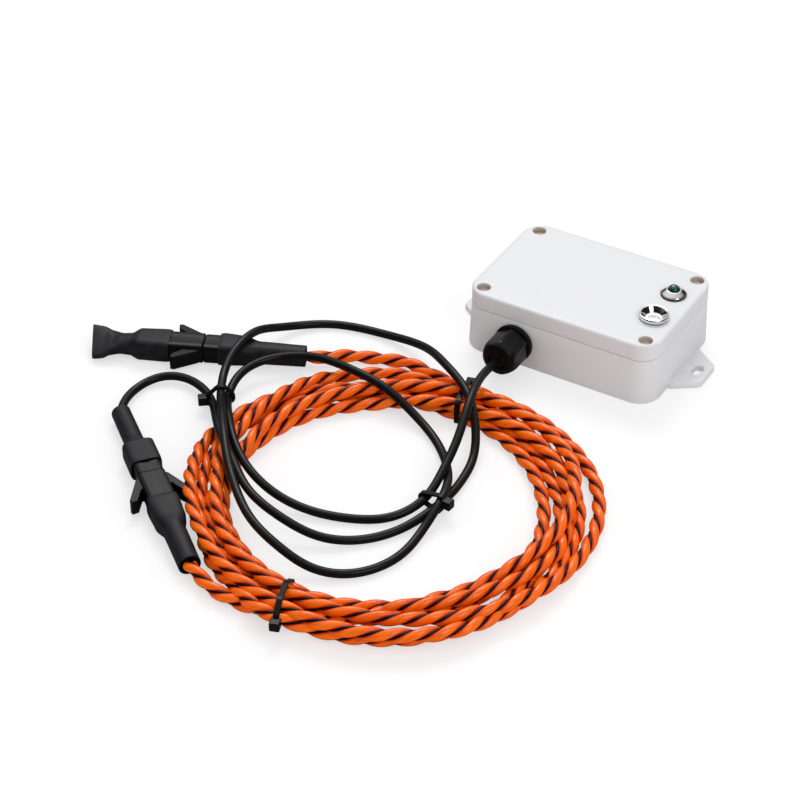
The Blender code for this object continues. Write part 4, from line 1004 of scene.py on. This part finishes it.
def strap_line(centres, radius):
    """Line of a strap drawn tight round cords: the hull of their circles, off the floor."""
    a = round_angles(36)
    circle = radius * np.stack([np.cos(a), np.sin(a)], -1)
    outline = hull((centres[:, None] + circle).reshape(-1, 2))
    outline[:, 1] = np.maximum(outline[:, 1], STRAP[1] + 0.05)
    start = outline[:, 0].argmax()
    closed = np.vstack([outline[start:], outline[:start + 1]])
    return sampled(closed, np.linspace(0, run_along(closed)[-1], 96, endpoint=False))


def strap_grid(line):
    """Band with eased edges: point = line + t normal, moved w to its side, for (w, t) round
    the strap's section."""
    tangent = unit(np.roll(line, -1, axis=0) - np.roll(line, 1, axis=0))
    half, thick = STRAP[0] / 2, STRAP[1]
    edge = 0.22
    w, t = np.array([(edge - half, 0), (half - edge, 0), (half, edge), (half, thick - edge),
                     (half - edge, thick), (edge - half, thick), (-half, thick - edge),
                     (-half, edge)]).T
    u = line[:, :1] + t * tangent[:, 1:]
    z = line[:, 1:] - t * tangent[:, :1]
    return np.stack([u, w + 0 * u, z], -1)


class SENSOR_OT_ties(Worker, bpy.types.Operator):
    """Draws the four cable ties round the cords that they hold, each with its lock"""
    bl_idname = "leak_sensor.ties"
    bl_label = "Cable ties"

    def execute(self, context):
        # A cord's line, a strap's radius round it, and how far from the tie its passes count
        lead = lead_path(self.sizes.lead_step / MM), 2.1, 14
        rope = rope_path(self.sizes.rope_step / MM), 3.0, 22
        for name, node, spot, angle, (path, radius, reach) in (
                ("tie_lead_left", "lead_tie_left", (-114.5, -128.5), 217.5, lead),
                ("tie_lead_right", "lead_tie_right", (2.0, -142.0), -5.0, lead),
                ("tie_rope_near", "rope_tie_1", (-20.0, -226.0), -70.0, rope),
                ("tie_rope_far", "rope_tie_2", (-24.2, -73.2), 106.0, rope)):
            angle = math.radians(angle)
            line = strap_line(crossings(path, spot, angle, reach), radius)
            start = line[0, 0] - LOCK_LAP
            low = max(line[0, 1] - LOCK / 2, 0.3)
            lock = block_grid(start, start + LOCK, LOCK, low, low + LOCK, square=9.0)
            skin = Skin().add(placed(strap_grid(line), (*spot, 0), heading(angle)), loop=True)
            skin.add(placed(lock, (*spot, 0), heading(angle)))
            skin.piece(name, "nylon_black", replaces=[node])
        return {"FINISHED"}


# Connectors

def boot_grid(stations, step=0.6, around=56):
    """Shrink sleeve: point(s, a) = (s, w |cos a|^(2/n), m + h |sin a|^(2/n)) with its signs,
    where width, height and squareness n run smoothly between stations of
    (distance, width, low, high, squareness)."""
    table = np.array(stations, float)
    s = np.unique(np.r_[np.arange(table[0, 0], table[-1, 0], step), table[:, 0]])
    k = np.clip(np.searchsorted(table[:, 0], s, side="right") - 1, 0, len(table) - 2)
    t = (s - table[k, 0]) / (table[k + 1, 0] - table[k, 0])
    t = (t * t * (3 - 2 * t))[:, None]
    width, low, high, square = ((1 - t) * table[k, 1:] + t * table[k + 1, 1:]).T[:, :, None]
    a = round_angles(around)[None]
    c, q = np.cos(a), np.sin(a)
    y = width / 2 * np.sign(c) * np.abs(c) ** (2 / square)
    z = (high + low) / 2 + (high - low) / 2 * np.sign(q) * np.abs(q) ** (2 / square)
    return np.stack([s[:, None] + 0 * y, y, z], -1)


def rolled(grid, roll=0.33, skew=0.14, reach=14.0, level=5.1):
    """Rolls the crimped end of a sleeve about its line and cuts it askew, less and less up to
    reach from its end."""
    t = np.clip(1 - grid[..., 0] / reach, 0, 1)
    t = t * t * (3 - 2 * t)
    y, z = grid[..., 1], grid[..., 2] - level
    c, q = np.cos(roll * t), np.sin(roll * t)
    return np.stack([grid[..., 0] - skew * y * t, c * y - q * z, level + q * y + c * z], -1)


def open_ends(grid, *depths, lip=0.7):
    """Adds the cut edge and inner wall of an open sleeve at its first and its last end, each
    as deep as given; a depth of 0 leaves that end closed."""
    for depth, way in zip(depths, (1, -1)):
        if depth:
            row = grid[0 if way > 0 else -1]
            middle = row.mean(0)
            inner = middle + (row - middle) * (1 - lip / np.abs(row - middle).max())
            wall = [inner[None], (inner + (way * depth, 0, 0))[None]]
            grid = np.concatenate([*wall[::-1], grid] if way > 0 else [grid, *wall])
    return grid


def block_grid(start, end, width, low, high, square=7.0, groove=0.0):
    """Moulded block along x with rounded edges and an optional groove along its top."""
    grid = boot_grid([(start, width, low, high, square), (end, width, low, high, square)],
                     step=(end - start) / 6, around=96)
    edge = 0.35
    middle = (low + high) / 2
    small = grid[[0, -1]]
    small[..., 1] *= 1 - 2 * edge / width
    small[..., 2] = middle + (small[..., 2] - middle) * (1 - 2 * edge / (high - low))
    grid[0, :, 0] += edge
    grid[-1, :, 0] -= edge
    grid = np.concatenate([small[:1], grid, small[1:]])
    if groove:
        top = grid[..., 2] > middle
        grid[..., 2] -= np.where(top, groove * np.exp(-(grid[..., 1] / 0.3) ** 2), 0)
    return grid


def plate_grid(outline, low, high, edge=0.25):
    """Flat plate of an outline, its edges eased by moving each corner along its normal."""
    p = np.array(outline, float)
    before = unit(p - np.roll(p, 1, axis=0))
    after = unit(np.roll(p, -1, axis=0) - p)
    turn = np.sign(np.sum(p[:, 0] * np.roll(p[:, 1], -1) - p[:, 1] * np.roll(p[:, 0], -1)))
    normal = np.stack([before[:, 1] + after[:, 1], -before[:, 0] - after[:, 0]], -1) * turn
    normal /= 1 + np.sum(before * after, axis=1, keepdims=True)
    return np.stack([at_height(p - inset * normal, z) for inset, z in (
        (edge, low), (0, low + edge), (0, high - edge), (edge, high))])


class SENSOR_OT_connectors(Worker, bpy.types.Operator):
    """Builds the two mated plugs: blocks, latch wings and shrink sleeves"""
    bl_idname = "leak_sensor.connectors"
    bl_label = "Connectors"

    def put(self, name, node, spot, *grids):
        """A boot is shrink tube, a block is nylon."""
        start, angle = spot
        skin = Skin()
        for grid in grids:
            skin.add(placed(grid, (*start, 0), heading(angle)))
        skin.piece(name, "shrink_black" if "boot" in name else "nylon_black", replaces=[node])

    def wings(self, root, tip):
        """Two latch arms that leave the plug's sides at root and flare to tip."""
        way = 1 if tip > root else -1
        outline = np.array([(root, 4.5), (root + way * 1.2, 6.9), (tip - way * 1.6, 13),
                            (tip, 12.6), (tip - way * 0.4, 9.8), (root + way * 8.5, 6.5),
                            (root + way * 8.5, 4.5)])
        return [plate_grid(outline * (1, side), 1.8, 8.8) for side in (-1, 1)]

    def execute(self, context):
        lead_side = boot_grid([(0.3, 8.5, 0.15, 8.6, 2.1), (22, 8.7, 0.1, 8.8, 2.2),
                               (26.6, 9.6, 0.1, 9.4, 2.6), (29.4, 14, 0.1, 11, 4.5),
                               (41.5, 14, 0.1, 11.1, 4.8), (43.0, 13.7, 0.25, 10.8, 4.8)])
        rope_side = boot_grid([(67.3, 13.7, 0.25, 10.8, 4.8), (69, 14, 0.1, 11.1, 4.6),
                               (79, 13.4, 0.1, 10.9, 3.6), (86.5, 9.6, 0.1, 9.9, 2.3),
                               (107.7, 9.5, 0.15, 9.6, 2.1)])
        end_side = boot_grid([(0.0, 18, 3.4, 6.8, 5), (5.0, 17.6, 3.3, 6.9, 5),
                              (9.0, 14.6, 2.6, 7.6, 3.2), (13.8, 11.4, 1.2, 9, 2.3),
                              (17.5, 11.2, 0.6, 9.6, 2.2), (22.5, 14, 0.1, 11, 4.2),
                              (34.5, 14.2, 0.1, 11.1, 4.8), (36.2, 13.9, 0.25, 10.8, 4.8)])
        tail_side = boot_grid([(58.8, 13.7, 0.25, 10.8, 4.8), (60.4, 14, 0.1, 11.1, 4.6),
                               (69, 13.6, 0.1, 10.9, 3.6), (77.5, 9.9, 0.1, 9.7, 2.5),
                               (98, 9.7, 0.1, 9.3, 2.3)])
        self.put("lead_boot_a", "lead_sleeve", PLUG_A, open_ends(lead_side, DEEP, SHALLOW))
        self.put("socket_block_a", "socket_a", PLUG_A, block_grid(38.8, 50.0, **SOCKET_BLOCK))
        self.put("plug_block_a", "plug_a", PLUG_A, block_grid(50.3, 71.5, **PLUG_BLOCK),
                 *self.wings(50.8, 66.2))
        self.put("rope_boot_a", "rope_sleeve_a", PLUG_A, open_ends(rope_side, SHALLOW, DEEP))
        self.put("end_boot_b", "end_cap_b", PLUG_B, open_ends(rolled(end_side), 0, SHALLOW))
        self.put("plug_block_b", "plug_b", PLUG_B, block_grid(32.2, 51.6, **PLUG_BLOCK),
                 *self.wings(51.0, 38.0))
        self.put("socket_block_b", "socket_b", PLUG_B, block_grid(51.9, 62.8, **SOCKET_BLOCK))
        self.put("rope_boot_b", "rope_sleeve_b", PLUG_B, open_ends(tail_side, SHALLOW, DEEP))
        return {"FINISHED"}


# Studio

class SENSOR_OT_stage(Worker, bpy.types.Operator):
    """Lays the white floor, hangs the soft lights and sets the camera"""
    bl_idname = "leak_sensor.stage"
    bl_label = "Stage"

    def execute(self, context):
        self.floor()
        self.world(context)
        self.lights()
        self.camera(context)
        context.scene.view_settings.view_transform = "Standard"
        return {"FINISHED"}

    def floor(self):
        """Level sheet that looks white to the camera and keeps the object's shadow."""
        half = 4.0
        mesh = bpy.data.meshes.new("studio_floor")
        mesh.from_pydata([(-half, -half, 0), (half, -half, 0), (half, half, 0),
                          (-half, half, 0)], [], [(0, 1, 2, 3)])
        floor = linked("studio_floor", mesh)
        s = Shader("studio_paper")
        ray = s.node("ShaderNodeLightPath").outputs
        seen = Value(s, ray["Is Camera Ray"])
        mirrored = s.mixed(ray["Is Glossy Ray"], (0.88, 0.86, 0.85, 1), (0.22, 0.22, 0.22, 1))
        paper = s.node("ShaderNodeBsdfDiffuse", {}, {0: s.mixed(seen, mirrored, WHITE)})
        glow = s.node("ShaderNodeEmission", {}, {0: WHITE, 1: 1.0})
        s.end(s.either(seen * 0.6, paper, glow))
        mesh.materials.append(s.material)

    def world(self, context):
        """Grey studio walls with a brighter ceiling; in reflections dark walls and a light
        ceiling, and white where the camera looks."""
        world = bpy.data.worlds.new("studio")
        context.scene.world = world
        t = Tree(world)
        place = t.place("Generated")
        walls = t.ramp(t.parts(place)[2], (0.0, (0.80, 0.79, 0.785)), (0.9, (0.80, 0.80, 0.81)))
        leaning = t.node("ShaderNodeVectorMath", {"operation": "DOT_PRODUCT"},
                         {0: place, 1: (-0.229, 0.387, 1.0)}).outputs["Value"]
        ceiling = t.ramp(leaning, (0.56, (0.015, 0.015, 0.015)), (0.76, (0.95, 0.94, 0.92)))
        ray = t.node("ShaderNodeLightPath").outputs
        glow = t.node("ShaderNodeBackground", {},
                      {0: t.mixed(ray["Is Glossy Ray"], walls, ceiling), 1: 0.85})
        white = t.node("ShaderNodeBackground", {}, {0: WHITE})
        t.node("ShaderNodeOutputWorld", {}, {0: t.either(ray["Is Camera Ray"], glow, white)})

    def lights(self):
        """Soft boxes, each aimed at the middle of the object: place, size, power."""
        target = Vector((-0.05, -0.1, 0.0))
        for name, spot, size, power in (
                ("key_box", (-0.55, 0.75, 1.25), (0.8, 0.6), 9.0),
                ("fill_box", (0.95, -0.5, 0.9), (0.7, 0.7), 4.0)):
            lamp = bpy.data.lights.new(name, "AREA")
            lamp.shape = "RECTANGLE"
            lamp.size, lamp.size_y = size
            lamp.energy = power
            box = linked(name, lamp)
            box.location = spot
            box.rotation_euler = (target - Vector(spot)).to_track_quat("-Z", "Y").to_euler()

    def camera(self, context):
        """The camera that was fitted to the photograph's box."""
        lens = bpy.data.cameras.new("photo_camera")
        lens.lens = 101.25
        lens.sensor_width = 36.0
        lens.clip_start = 0.01
        camera = linked("photo_camera", lens)
        camera.location = (0.35308, -0.76817, 0.60706)
        camera.rotation_euler = (math.radians(52.6238), 0, math.radians(30.5454))
        context.scene.camera = camera


class SENSOR_PT_panel(bpy.types.Panel):
    """Lists the steps and their settings in the sidebar"""
    bl_idname = "SENSOR_PT_panel"
    bl_label = "Leak Sensor"
    bl_space_type = "VIEW_3D"
    bl_region_type = "UI"
    bl_category = "Leak Sensor"

    def draw(self, context):
        for group in (context.scene.leak_sensor_finishes, context.scene.leak_sensor_sizes):
            for name in group.bl_rna.properties.keys():
                if name not in ("rna_type", "name"):
                    self.layout.prop(group, name)
        for step in STEPS:
            self.layout.operator(step.bl_idname)


STEPS = (SENSOR_OT_stage, SENSOR_OT_finishes, SENSOR_OT_connectors, SENSOR_OT_lead,
         SENSOR_OT_rope, SENSOR_OT_ties, SENSOR_OT_enclosure, SENSOR_OT_lamp,
         SENSOR_OT_push_button, SENSOR_OT_gland)
CLASSES = (LeakSensorFinishes, LeakSensorSizes, *STEPS, SENSOR_PT_panel)


def register():
    for item in CLASSES:
        bpy.utils.register_class(item)
    bpy.types.Scene.leak_sensor_finishes = PointerProperty(type=LeakSensorFinishes)
    bpy.types.Scene.leak_sensor_sizes = PointerProperty(type=LeakSensorSizes)


def unregister():
    del bpy.types.Scene.leak_sensor_sizes
    del bpy.types.Scene.leak_sensor_finishes
    for item in reversed(CLASSES):
        bpy.utils.unregister_class(item)


def main():
    register()
    bpy.ops.leak_sensor.stage()
    bpy.ops.leak_sensor.finishes()
    bpy.ops.leak_sensor.connectors()
    bpy.ops.leak_sensor.lead()
    bpy.ops.leak_sensor.rope()
    bpy.ops.leak_sensor.ties()
    bpy.ops.leak_sensor.enclosure()
    bpy.ops.leak_sensor.lamp()
    bpy.ops.leak_sensor.push_button()
    bpy.ops.leak_sensor.gland()
    bpy.context.view_layer.update()


if __name__ == "__main__":
    main()
